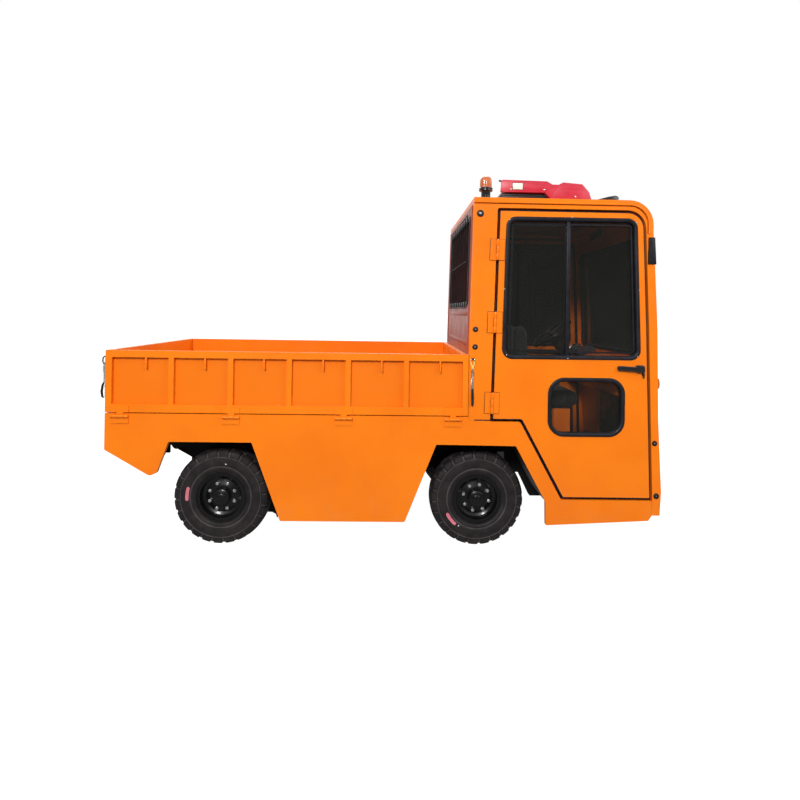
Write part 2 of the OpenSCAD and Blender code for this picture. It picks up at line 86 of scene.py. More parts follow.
def offset(o, d):
    """A closed outline, anticlockwise, moved outwards by d."""
    out = []
    for i, p in enumerate(o):
        a, b = Vector(p) - Vector(o[i - 1]), Vector(o[(i + 1) % len(o)]) - Vector(p)
        if a.length < 1e-6 or b.length < 1e-6:
            a = b = a if a.length > b.length else b
        a, b = a.normalized(), b.normalized()
        na, nb = Vector((a.y, -a.x)), Vector((b.y, -b.x))
        k = d / max(0.3, 1 + na.dot(nb))
        out.append((p[0] + (na.x + nb.x) * k, p[1] + (na.y + nb.y) * k))
    return out


def T(x, y, z):
    return Matrix.Translation((x, y, z))


def R(deg, axis):
    return Matrix.Rotation(math.radians(deg), 4, axis)


def toward(x, y, z, d):
    """Local +Z turned to direction d, at a point."""
    return T(x, y, z) @ Vector(d).to_track_quat("Z", "Y").to_matrix().to_4x4()


class Build:
    """Collects closed shells, in millimetres, into one piece."""

    def __init__(self):
        self.bm, self.mi = bmesh.new(), 0

    def add(self, verts, faces, M=None):
        vs = [self.bm.verts.new(M @ Vector(v) if M else Vector(v)) for v in verts]
        for f in faces:
            try:
                self.bm.faces.new([vs[i] for i in f]).material_index = self.mi
            except ValueError:
                pass
        return self

    def box(self, lo, hi, bev=2.0, M=None, seg=2):
        t = bmesh.new()
        bmesh.ops.create_cube(t, size=1)
        for v in t.verts:
            v.co = Vector([lo[i] + (hi[i] - lo[i]) * (v.co[i] + 0.5) for i in range(3)])
        bev = min([bev] + [abs(hi[i] - lo[i]) * 0.45 for i in range(3)])
        bmesh.ops.bevel(t, geom=t.edges[:], offset=bev, segments=seg, profile=0.5, affect="EDGES")
        t.verts.index_update()
        self.add([v.co.copy() for v in t.verts], [[v.index for v in f.verts] for f in t.faces], M)
        t.free()
        return self

    def grid(self, rows, M=None, close_u=True, close_v=True, caps=False):
        """Rows of points joined into a skin. close_u closes each row, close_v joins the last row to the first."""
        n, m = len(rows), len(rows[0])
        faces = []
        for i in range(n if close_v else n - 1):
            for j in range(m if close_u else m - 1):
                a, b = i * m + j, i * m + (j + 1) % m
                c, d = ((i + 1) % n) * m + (j + 1) % m, ((i + 1) % n) * m + j
                faces.append((a, b, c, d))
        if caps:
            faces.append(tuple(range(m))[::-1])
            faces.append(tuple((n - 1) * m + k for k in range(m)))
        return self.add([p for r in rows for p in r], faces, M)

    def lathe(self, prof, M=None, n=48, closed=False):
        """Profile of (r, z) turned about local Z. A point at r 0 becomes a pole."""
        verts, faces, idx = [], [], []
        for r, z in prof:
            if r < 1e-6:
                idx.append([len(verts)] * n)
                verts.append((0, 0, z))
            else:
                idx.append(list(range(len(verts), len(verts) + n)))
                verts += [(r * math.cos(2 * math.pi * k / n), r * math.sin(2 * math.pi * k / n), z) for k in range(n)]
        for i in range(len(prof) if closed else len(prof) - 1):
            a, b = idx[i], idx[(i + 1) % len(prof)]
            for k in range(n):
                f = []
                for q in (a[k], a[(k + 1) % n], b[(k + 1) % n], b[k]):
                    if q not in f:
                        f.append(q)
                if len(f) > 2:
                    faces.append(f)
        return self.add(verts, faces, M)

    def prism(self, outline, a, b, plane="xz", bev=2.0, M=None, seg=2):
        """An outline pushed from a to b along the third axis, with rounded rims."""
        steps = [(a, -bev), (a + bev * 0.29, -bev * 0.29), (a + bev, 0), (b - bev, 0), (b - bev * 0.29, -bev * 0.29), (b, -bev)] if bev > 0 else [(a, 0), (b, 0)]
        rows = []
        for w, d in steps:
            o = offset(outline, d) if d else outline
            rows.append([{"xz": (p[0], w, p[1]), "xy": (p[0], p[1], w), "yz": (w, p[0], p[1])}[plane] for p in o])
        return self.grid(rows, M, close_v=False, caps=True)

    def rim(self, outline, prof, side=1, M=None):
        """A closed profile of (offset, distance from the centre line) carried round an outline in X-Z."""
        rows = []
        for d, y in prof:
            rows.append([(p[0], -side * y, p[1]) for p in (offset(outline, d) if d else outline)])
        return self.grid(rows, M)

    def tube(self, pts, r, n=12, M=None, flat=1.0):
        pts = [Vector(p) for p in pts]
        rows, prev = [], None
        for i, p in enumerate(pts):
            t = (pts[min(i + 1, len(pts) - 1)] - pts[max(i - 1, 0)]).normalized()
            if prev is None:
                prev = t.orthogonal().normalized()
            u = (prev - t * prev.dot(t)).normalized()
            v = t.cross(u)
            prev = u
            rr = r[i] if isinstance(r, (list, tuple)) else r
            rows.append([p + (u * math.cos(2 * math.pi * k / n) + v * math.sin(2 * math.pi * k / n) * flat) * rr for k in range(n)])
        return self.grid(rows, M, close_v=False, caps=True)

    def nut(self, M, af=22, h=12, stud=6, r_stud=6):
        prof = [(0, 0), (af * 0.56, 0), (af * 0.577, h * 0.2), (af * 0.577, h * 0.82), (af * 0.5, h), (r_stud, h)]
        self.lathe(prof + ([(r_stud, h + stud - 1), (r_stud - 1, h + stud), (0, h + stud)] if stud else [(0, h)]), M, n=6)
        return self

    def bolt(self, M, r=7, h=5):
        self.lathe([(0, 0), (r * 1.35, 0), (r * 1.35, 1.2), (r * 1.05, 1.6), (r, 2), (r, h - 0.8), (r - 0.8, h), (0, h)], M, n=6)
        return self

    def dome(self, M, r=16, h=7, n=28):
        self.lathe([(r, 0), (r, h * 0.3)] + [(r * math.cos(a) * 0.97, h * 0.3 + h * 0.7 * math.sin(a)) for a in [k * math.pi / 2 / 6 for k in range(7)]], M, n=n)
        return self

    def done(self, name, mats, body, smooth=38, replaces=(), mods=None):
        low = body.startswith(("wheel_", "steer_", "track_rod")) or name in ("spring_clamps", "drive_unit_details")
        for v in self.bm.verts:
            v.co.z += 0 if low else LIFT
            v.co *= 0.001
        bmesh.ops.remove_doubles(self.bm, verts=self.bm.verts, dist=1e-6)
        bmesh.ops.recalc_face_normals(self.bm, faces=self.bm.faces)
        lim = math.radians(smooth)
        for f in self.bm.faces:
            f.smooth = True
        for e in self.bm.edges:
            e.smooth = len(e.link_faces) == 2 and e.calc_face_angle(0) < lim
        me = bpy.data.meshes.new(name)
        self.bm.to_mesh(me)
        self.bm.free()
        ob = bpy.data.objects.new(name, me)
        bpy.context.scene.collection.objects.link(ob)
        for m in mats if isinstance(mats, (list, tuple)) else [mats]:
            me.materials.append(m)
        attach(ob, body)
        if replaces:
            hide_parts(*replaces)
        return ob


# ------------------------------------------------------------------ materials
class Mat:
    def __init__(self, name):
        self.m = bpy.data.materials.new(name)
        self.m.use_nodes = True
        self.t = self.m.node_tree
        self.t.nodes.clear()
        self.out = self.t.nodes.new("ShaderNodeOutputMaterial")
        self.b = self.t.nodes.new("ShaderNodeBsdfPrincipled")
        self.t.links.new(self.b.outputs[0], self.out.inputs[0])
        c = self.t.nodes.new("ShaderNodeTexCoord")
        self.co = c.outputs["Object"]
        s = self.t.nodes.new("ShaderNodeSeparateXYZ")
        self.t.links.new(self.co, s.inputs[0])
        self.x, self.y, self.z = s.outputs

    def put(self, sock, v):
        if isinstance(v, bpy.types.NodeSocket):
            self.t.links.new(v, sock)
        elif hasattr(sock.default_value, "__len__"):
            sock.default_value = tuple(v) if len(v) == len(sock.default_value) else tuple(v) + (1.0,)
        else:
            sock.default_value = v

    def set(self, **kw):
        for k, v in kw.items():
            self.put(self.b.inputs[k.replace("_", " ")], v)
        return self

    def noise(self, scale, detail=3, rough=0.55, stretch=None, seed=0.0):
        n = self.t.nodes.new("ShaderNodeTexNoise")
        n.noise_dimensions = "4D"
        co = self.co
        if stretch:
            mp = self.t.nodes.new("ShaderNodeMapping")
            mp.inputs["Scale"].default_value = stretch
            self.put(mp.inputs["Vector"], co)
            co = mp.outputs[0]
        self.put(n.inputs["Vector"], co)
        n.inputs["W"].default_value = seed
        n.inputs["Scale"].default_value = scale
        n.inputs["Detail"].default_value = detail
        n.inputs["Roughness"].default_value = rough
        return n.outputs["Fac"]

    def voronoi(self, scale, feature="F1", stretch=None):
        n = self.t.nodes.new("ShaderNodeTexVoronoi")
        n.feature = feature
        co = self.co
        if stretch:
            mp = self.t.nodes.new("ShaderNodeMapping")
            mp.inputs["Scale"].default_value = stretch
            self.put(mp.inputs["Vector"], co)
            co = mp.outputs[0]
        self.put(n.inputs["Vector"], co)
        n.inputs["Scale"].default_value = scale
        return n.outputs["Distance"]

    def wave(self, scale, direction="X", dist=0.0):
        n = self.t.nodes.new("ShaderNodeTexWave")
        n.bands_direction = direction
        self.put(n.inputs["Vector"], self.co)
        n.inputs["Scale"].default_value = scale
        n.inputs["Distortion"].default_value = dist
        return n.outputs["Fac"]

    def math(self, op, a, b=0.0, clamp=False):
        n = self.t.nodes.new("ShaderNodeMath")
        n.operation, n.use_clamp = op, clamp
        self.put(n.inputs[0], a)
        self.put(n.inputs[1], b)
        return n.outputs[0]

    def span(self, v, a, b, c=0.0, d=1.0):
        n = self.t.nodes.new("ShaderNodeMapRange")
        n.interpolation_type = "SMOOTHSTEP"
        for i, q in zip(range(5), (v, a, b, c, d)):
            self.put(n.inputs[i], q)
        return n.outputs[0]

    def mix(self, f, a, b):
        n = self.t.nodes.new("ShaderNodeMix")
        n.data_type = "RGBA"
        self.put(n.inputs[0], f)
        self.put(n.inputs[6], a)
        self.put(n.inputs[7], b)
        return n.outputs[2]

    def bump(self, h, strength=0.2, dist=0.001, under=None):
        n = self.t.nodes.new("ShaderNodeBump")
        n.inputs["Strength"].default_value = strength
        n.inputs["Distance"].default_value = dist
        self.put(n.inputs["Height"], h)
        if under:
            self.put(n.inputs["Normal"], under)
        return n.outputs[0]


def paint(name, col, dark, rough=(0.28, 0.4), coat=0.12, dust=0.07, spec=0.2, dust_col=(0.30, 0.22, 0.15), wear=None, wear_col=(0.10, 0.055, 0.035), peel=0.05, scuff=0.0, recess_shade_band=None):
    """Sprayed enamel: cloudy tone, orange peel, road dust low down and chips along a worn edge; where asked, a painted
    shade darkens a band of recessed panels.
    """
    m = Mat(name)
    c = m.mix(m.span(m.noise(2.3, 4), 0.35, 0.7), col, dark)
    fine = m.noise(38, 4, 0.6, seed=2.0)
    c = m.mix(m.math("MULTIPLY", m.span(fine, 0.55, 0.8), 0.16), c, dark)
    low = m.math("MULTIPLY", m.span(m.z, 0.62, 0.14), m.span(m.noise(7, 5, 0.65, seed=1.0), 0.38, 0.72))
    c = m.mix(m.math("MULTIPLY", low, dust), c, dust_col)
    streak = m.span(m.noise(30, 3, 0.5, stretch=(1, 1, 0.06), seed=3.0), 0.62, 0.82)
    c = m.mix(m.math("MULTIPLY", streak, 0.07), c, dust_col)
    r = m.span(m.noise(11, 3, seed=5.0), 0.3, 0.75, rough[0], rough[1])
    r = m.math("ADD", r, m.math("MULTIPLY", low, 0.25), clamp=True)
    # painted shade: the band of |y| where the sunk panel floors lie is made darker and redder, as if shaded by the
    # recess walls
    if recess_shade_band:
        a, b = recess_shade_band
        side = m.math("ABSOLUTE", m.y)
        recess_shade_mask = m.math("MULTIPLY", m.span(side, b + 0.002, b), m.span(side, a - 0.002, a))
        c = m.mix(m.math("MULTIPLY", recess_shade_mask, 0.75), c, (col[0] * 0.93, col[1] * 0.82, col[2]))
    if wear:
        a, b = wear
        edge = m.span(m.z, a, b)
        chip = m.math("MULTIPLY", edge, m.span(m.noise(85, 5, 0.7, seed=8.0), 0.60, 0.64))
        c = m.mix(chip, c, wear_col)
        r = m.math("ADD", r, m.math("MULTIPLY", chip, 0.3), clamp=True)
    if scuff:
        sc = m.math("MULTIPLY", m.span(m.noise(9, 6, 0.75, stretch=(1, 3, 1), seed=9.0), 0.5, 0.66), scuff)
        c = m.mix(sc, c, wear_col)
        r = m.math("ADD", r, m.math("MULTIPLY", sc, 0.35), clamp=True)
    nrm = m.bump(m.noise(330, 2, 0.4, seed=4.0), peel, 0.0006)
    nrm = m.bump(m.noise(5.5, 2, 0.4, seed=6.0), 0.06, 0.004, nrm)
    m.set(Base_Color=c, Roughness=r, Normal=nrm)
    m.set(Coat_Weight=coat, Coat_Roughness=0.09, IOR=1.5, Specular_IOR_Level=spec)
    return m.m


ORANGE, ORANGE_D = (0.94, 0.216, 0.006), (0.88, 0.186, 0.005)
orange = paint("orange_body", ORANGE, ORANGE_D)
# the boards' paint carries a painted shade on their recessed panels
orange_board = paint("orange_boards", (0.93, 0.222, 0.006), (0.87, 0.190, 0.005), recess_shade_band=(0.697, 0.719), wear=(1.196, 1.210), peel=0.07, coat=0.06)
orange_bed = paint("orange_bed_floor", (0.80, 0.175, 0.012), (0.55, 0.10, 0.01), rough=(0.4, 0.6), coat=0.05, scuff=0.7, wear_col=(0.13, 0.09, 0.07))
orange_in = paint("orange_cab_inside", (0.88, 0.19, 0.009), (0.72, 0.135, 0.007), coat=0.1)
# painted shade and reflection: the cab's orange paint darkened and browned, with a pinkish cast of reflected sky, as if
# the rear wall stood in shade
rear_wall_painted_shade = paint("orange_rear_wall_painted_shade", (0.37, 0.090, 0.045), (0.31, 0.070, 0.038), coat=0.0, dust=0.12, spec=0.1)
black_steel = paint("black_running_gear", (0.0035, 0.0034, 0.004), (0.007, 0.0066, 0.0064), rough=(0.42, 0.62), coat=0.0, dust=0.07, dust_col=(0.06, 0.05, 0.04), peel=0.12, spec=0.16)
black_rim = paint("black_rim_enamel", (0.0025, 0.0025, 0.003), (0.005, 0.005, 0.0055), rough=(0.2, 0.3), coat=0.22, dust=0.01, spec=0.25, dust_col=(0.05, 0.042, 0.035), peel=0.03)


def rubber(name, col=(0.012, 0.012, 0.013), rough=(0.5, 0.72), dust=0.25, grain=240, strength=0.25):
    m = Mat(name)
    c = m.mix(m.span(m.noise(16, 4), 0.35, 0.7), col, tuple(v * 1.9 for v in col))
    d = m.math("MULTIPLY", m.span(m.noise(9, 5, 0.65, seed=1.5), 0.45, 0.75), dust)
    c = m.mix(d, c, (0.10, 0.085, 0.07))
    m.set(Base_Color=c, Roughness=m.span(m.noise(14, 3, seed=2.0), 0.3, 0.7, rough[0], rough[1]))
    m.set(Normal=m.bump(m.noise(grain, 3, 0.6, seed=3.0), strength, 0.0006))
    m.set(Specular_IOR_Level=0.24)
    return m.m


tyre_rubber = rubber("tyre_rubber", (0.0105, 0.0085, 0.0095), (0.5, 0.75), 0.16, 160, 0.3)
# partly worn, dusty rubber and partly a painted highlight on the tyre's ring and groove lines
worn_rubber_and_highlight = rubber("worn_and_highlit_tyre_rubber", (0.040, 0.035, 0.036), (0.5, 0.7), 0.2, 160, 0.2)
seal_rubber = rubber("seal_rubber", (0.0075, 0.008, 0.0115), (0.34, 0.5), 0.04, 420, 0.12)


def plastic(name, col, rough=0.45, grain=900, strength=0.3, var=1.5, coat=0.0):
    m = Mat(name)
    c = m.mix(m.span(m.noise(10, 4), 0.35, 0.7), col, tuple(min(1.0, v * var) for v in col))
    h = m.math("ADD", m.math("MULTIPLY", m.voronoi(grain), 0.7), m.noise(grain * 0.6, 2, seed=1.0))
    m.set(Base_Color=c, Roughness=m.span(m.noise(20, 3, seed=2.0), 0.3, 0.7, rough * 0.85, rough * 1.15), Normal=m.bump(h, strength, 0.0004))
    m.set(Coat_Weight=coat, Coat_Roughness=0.1)
    return m.m


black_plastic = plastic("black_grained_plastic", (0.013, 0.013, 0.015), 0.46)
gloss_black = plastic("black_gloss_plastic", (0.008, 0.008, 0.01), 0.22, 1400, 0.06, coat=0.4)
pod_plastic = plastic("instrument_pod_plastic", (0.035, 0.042, 0.05), 0.2, 1200, 0.05, coat=0.6)
crimson = plastic("crimson_cover", (0.56, 0.016, 0.045), 0.36, 260, 0.04, var=0.86, coat=0.12)
amber = plastic("amber_lens", (0.60, 0.14, 0.028), 0.16, 500, 0.03, var=0.8, coat=0.3)
red_lens = plastic("red_lens", (0.50, 0.012, 0.012), 0.14, 500, 0.05, var=0.8, coat=0.4)
white_plate = plastic("blank_white_plate", (0.86, 0.85, 0.78), 0.4, 700, 0.04, var=0.95)
label_pink = plastic("blank_tyre_label", (0.76, 0.19, 0.25), 0.5, 500, 0.2, var=0.75)
dot_white = plastic("white_paint_dot", (0.75, 0.75, 0.72), 0.5, 600, 0.2, var=0.8)
yellow_zinc = plastic("yellow_passivated_steel", (0.86, 0.66, 0.16), 0.3, 300, 0.06, var=0.8, coat=0.2)


def metal(name, col, rough=(0.22, 0.42), grime=0.25):
    m = Mat(name)
    c = m.mix(m.math("MULTIPLY", m.span(m.noise(45, 4, 0.6), 0.45, 0.75), grime), col, (0.16, 0.14, 0.12))
    m.set(Base_Color=c, Roughness=m.span(m.noise(60, 3, seed=1.0), 0.3, 0.7, rough[0], rough[1]), Normal=m.bump(m.noise(700, 2, 0.5, seed=2.0), 0.08, 0.0003))
    m.set(Metallic=1.0)
    return m.m


zinc = metal("zinc_plated_steel", (0.72, 0.72, 0.70))
bare_steel = metal("bare_steel", (0.42, 0.42, 0.43), (0.3, 0.5), 0.4)
mirror_metal = metal("lamp_reflector", (0.9, 0.9, 0.9), (0.06, 0.12), 0.05)


def glass(name, tint, alpha, spec=0.5):
    m = Mat(name)
    film = m.span(m.noise(6, 4, 0.6), 0.3, 0.8, 0.03, 0.075)
    m.set(Base_Color=m.mix(m.span(m.noise(3, 3, seed=1.0), 0.3, 0.7), tint, tuple(v * 1.35 for v in tint)), Roughness=film)
    m.set(Alpha=alpha, IOR=1.5, Specular_IOR_Level=spec)
    m.m.surface_render_method = "BLENDED" if hasattr(m.m, "surface_render_method") else None
    return m.m


cab_glass = glass("tinted_side_glass", (0.011, 0.012, 0.010), 0.36)
# painted shade: the windscreen and far door glass are made nearly opaque and dark, standing in for the shaded, dark
# view through the cab
near_opaque_glass_shade = glass("dark_glass_painted_shade", (0.014, 0.012, 0.011), 0.955)
# painted shade: the rear window glass is made nearly opaque dark brown, standing in for the shaded view through it; it
# has no specular reflection
rear_glass_painted_shade = glass("rear_window_glass_painted_shade", (0.036, 0.019, 0.019), 0.97, 0.0)
lens_glass = glass("clear_lamp_lens", (0.5, 0.5, 0.5), 0.3)


def fabric(name, col, pitch=620):
    m = Mat(name)
    w1, w2 = m.wave(pitch, "X", 0.6), m.wave(pitch, "Y", 0.6)
    w3 = m.wave(pitch, "Z", 0.6)
    weave = m.math("MULTIPLY", m.math("MAXIMUM", w1, w3), w2)
    c = m.mix(weave, tuple(v * 0.6 for v in col), tuple(v * 1.7 for v in col))
    c = m.mix(m.math("MULTIPLY", m.span(m.noise(8, 5), 0.45, 0.75), 0.3), c, (0.05, 0.046, 0.042))
    m.set(Base_Color=c, Roughness=m.span(m.noise(12, 2, seed=1.0), 0.3, 0.7, 0.72, 0.9), Normal=m.bump(m.math("ADD", weave, m.noise(260, 3, seed=2.0)), 0.35, 0.0006))
    m.set(Sheen_Weight=0.25, Sheen_Roughness=0.4)
    return m.m


seat_cloth = fabric("black_seat_cloth", (0.020, 0.020, 0.023))


def dial():
    """A plain gauge face: glossy black with a faint mottle."""
    m = Mat("dial_face")
    m.set(Base_Color=m.mix(m.span(m.noise(300, 2), 0.4, 0.6), (0.02, 0.022, 0.025), (0.03, 0.032, 0.036)), Roughness=0.3)
    m.set(Coat_Weight=0.8, Coat_Roughness=0.04)
    return m.m


dial_black = dial()

# ------------------------------------------------------------------ finish of the carried-over nodes
finish = {
    orange: "skirt_right skirt_left rear_panel cab_roof cab_side_right cab_side_left cab_front right_door left_door",
    orange_board: "headboard right_side_board left_side_board tailgate",
    orange_bed: "bed_floor",
    # the cab's rear wall takes the orange paint with painted shade
    rear_wall_painted_shade: "cab_rear_wall",
    black_steel: "chassis_frame tow_hitch front_axle leaf_springs drive_axle battery wheel_arch_guards cab_floor pedals steering_column right_knuckle left_knuckle tie_rod",
    black_plastic: "dashboard",
    orange_in: "seat_box",
    black_rim: "front_right_rim front_left_rim rear_right_rim rear_left_rim",
    cab_glass: "right_door_glass",
    # the rear window carries this painted shade
    rear_glass_painted_shade: "rear_window",
    # the windscreen and far door glass carry this painted shade
    near_opaque_glass_shade: "windscreen left_door_glass",
}
for mat, names in finish.items():
    for n in names.split():
        o = NODES[n]
        if not o.material_slots:
            o.data.materials.append(mat)
        for s in o.material_slots:
            s.material = mat
        if mat in (cab_glass, near_opaque_glass_shade, rear_glass_painted_shade):
            o.visible_shadow = False
            continue
        w = o.modifiers.new("weld", "WELD")
        w.merge_threshold = 0.00002
        b = o.modifiers.new("edges", "BEVEL")
        b.limit_method, b.angle_limit = "ANGLE", math.radians(42)
        b.width, b.segments, b.harden_normals = (0.0035 if "rim" in n else 0.0022), 2, True
        b.use_clamp_overlap = True


# ------------------------------------------------------------------ wheels
LUGS = 24
TYRE = [  # radius, distance from the middle plane, depth of a shoulder groove there
    (297, 0, 0), (297, 10, 0), (290, 12, 0), (290, 19, 0), (296.8, 21, 0), (296.4, 34, 0), (296, 36, 8), (295, 50, 8),
    (293, 62, 8), (289.5, 71, 8), (284, 77, 7.5), (276, 80.5, 7), (268, 82.6, 6), (260, 84, 4.6), (254, 84.6, 2.6), (251.6, 84.8, 0),
    (250.4, 87.8, 0), (246.8, 87.8, 0), (245.4, 85.2, 0), (232, 87, 0), (207, 87, 0), (198, 85.4, 0), (193.5, 84.6, 0), (191, 86.8, 0), (186, 86.8, 0), (183.5, 83.4, 0), (175.5, 84.0, 0),
    (172, 83.2, 0), (168, 80.6, 0), (160, 78.6, 0), (153, 78.2, 0)]
SAMPLES = [(0.0, 1), (0.07, 1), (0.17, 1), (0.24, 1), (0.29, 0), (0.46, 0), (0.64, 0), (0.80, 0), (0.95, 0)]


def tyre(name, x, side, body, node):
    """Solid-looking industrial tyre: shoulder lugs with radial grooves, a thin raised ring and a rim guard."""
    rows = []
    for s in (1, -1):
        t = TYRE if s > 0 else TYRE[1:]
        part = []
        for r, h, g in t:
            row = []
            for k in range(LUGS):
                for f, deep in SAMPLES:
                    a = 2 * math.pi * (k + f + (0.5 if s < 0 else 0)) / LUGS + (min(h, 70) * 0.0006 if s > 0 else -min(h, 70) * 0.0006)
                    n_r = 1.0 if h < 66 else max(0.1, (r - 246) / 50)
                    d = g * deep
                    hh = h - d * (1 - n_r)
                    rr = r - d * n_r
                    row.append((rr * math.cos(a), rr * math.sin(a), s * hh))
            part.append(row)
        rows.append(part)
    # the two halves meet on the middle ring, whose points the inner half takes from the outer half
    mid = rows[0][0]
    B = Build()
    n = len(mid)
    M = T(x, -side * WHEEL_Y, WHEEL_Z) @ R(side * 90, "X")
    outer = rows[0][::-1]
    B.grid(outer, M, close_v=False)
    # lighter rubber on the floors of the shoulder grooves, the raised ring and the rim guard: partly worn, dusty
    # rubber, partly a painted highlight along these lines
    B.bm.faces.ensure_lookup_table()
    for i in range(len(outer) - 1):
        (r0, h0, g0), (r1, h1, g1) = TYRE[len(TYRE) - 1 - i], TYRE[len(TYRE) - 2 - i]
        ring = h0 + h1 > 169 and (246 < (r0 + r1) / 2 < 251.2 or 184.5 < (r0 + r1) / 2 < 192.5)
        for j in range(n):
            if ring or (min(g0, g1) > 2 and j % len(SAMPLES) == 1):
                B.bm.faces[i * n + j].material_index = 1
    inner = [mid] + rows[1]
    B.grid(inner, M, close_v=False)
    # barrel side, hidden on the rim
    B.grid([outer[0], [(153 * math.cos(math.atan2(p[1], p[0])), 153 * math.sin(math.atan2(p[1], p[0])), -78.2) for p in outer[0]]], M, close_v=False)
    B.mi = 0
    ob = B.done(name, [tyre_rubber, worn_rubber_and_highlight], body, 34, replaces=(node,))
    return ob


def on_wheel(x, side):
    return T(x, -side * WHEEL_Y, WHEEL_Z) @ R(side * 90, "X")


def wheel_fittings(name, x, side, body):
    M = on_wheel(x, side)
    B = Build()
    for k in range(8):
        a = 2 * math.pi * (k + (0.68 if x == FRONT_X else 0.5)) / 8
        B.nut(M @ T(83 * math.cos(a), 83 * math.sin(a), 41.5) @ R(k * 37, "Z"), 21, 13, 6, 6.5)
    B.mi = 1
    # valve, from the disc to beside the hub
    B.tube([(0, 112, 36), (0, 112, 46), (0, 111, 56), (0, 108, 64)], [5, 4, 3.6, 3.4], 10, M)
    # raised ring round the hub, and the hub's cap
    B.mi = 2
    B.lathe([(46.5, 60), (50.5, 60), (52, 63), (52, 70), (50, 73), (46.5, 73)], M, 56, closed=True)
    B.lathe([(0, 84), (22, 83.4), (26, 81.5), (27, 84), (25, 87.5), (18, 90.5), (8, 92), (0, 92.2)], M, 48)
    # lock ring on the rim's outer flange
    B.lathe([(150, 81.5), (154.5, 82), (155.5, 84), (154.5, 86.5), (151, 87.2), (147, 86), (146, 83), (147.5, 81.5)], M, 120, closed=True)
    return B.done(name, [zinc, seal_rubber, black_rim], body)


for fr, x in (("front", FRONT_X), ("rear", REAR_X)):
    for sd, s in SIDES:
        body = f"wheel_{fr}_{sd}"
        tyre(f"tyre_{fr}_{sd}", x, s, body, f"{fr}_{sd}_tyre")
        wheel_fittings(f"wheel_fittings_{fr}_{sd}", x, s, body)
        # a blank label on the sidewall and a small dot of paint
        ang, wide = (174, 12) if fr == "rear" else (217.7, 12.7)
        B = Build()
        M = on_wheel(x, s)
        pts_o, pts_i = [], []
        rows = []
        for lift in (0, 0.8):
            row = []
            n = 20
            ends = [min(1.0, 0.3 + 0.7 * math.sqrt(max(0.0, 1 - max(0.0, (abs(2 * k / n - 1) - 0.7) / 0.3) ** 2))) for k in range(n + 1)]
            for k in range(n + 1):
                a, w = math.radians(ang - wide + 2 * wide * k / n), 10 * ends[k]
                row.append(((207 + w) * math.cos(a), (207 + w) * math.sin(a), 86.8 + lift))
            for k in range(n + 1):
                a, w = math.radians(ang + wide - 2 * wide * k / n), 10 * ends[k]
                row.append(((207 - w) * math.cos(a), (207 - w) * math.sin(a), 86.8 + lift))
            rows.append(row)
        B.grid(rows, M, close_v=False, caps=True)
        B.done(f"blank_label_{fr}_{sd}", [label_pink], body)
        B = Build()
        da, dr_ = (math.radians(82), 209) if fr == "rear" else (math.radians(236), 202)
        B.dome(M @ T(dr_ * math.cos(da), dr_ * math.sin(da), 86.6), 4.2, 1.0, 16)
        B.done(f"paint_dot_{fr}_{sd}", [dot_white], body)

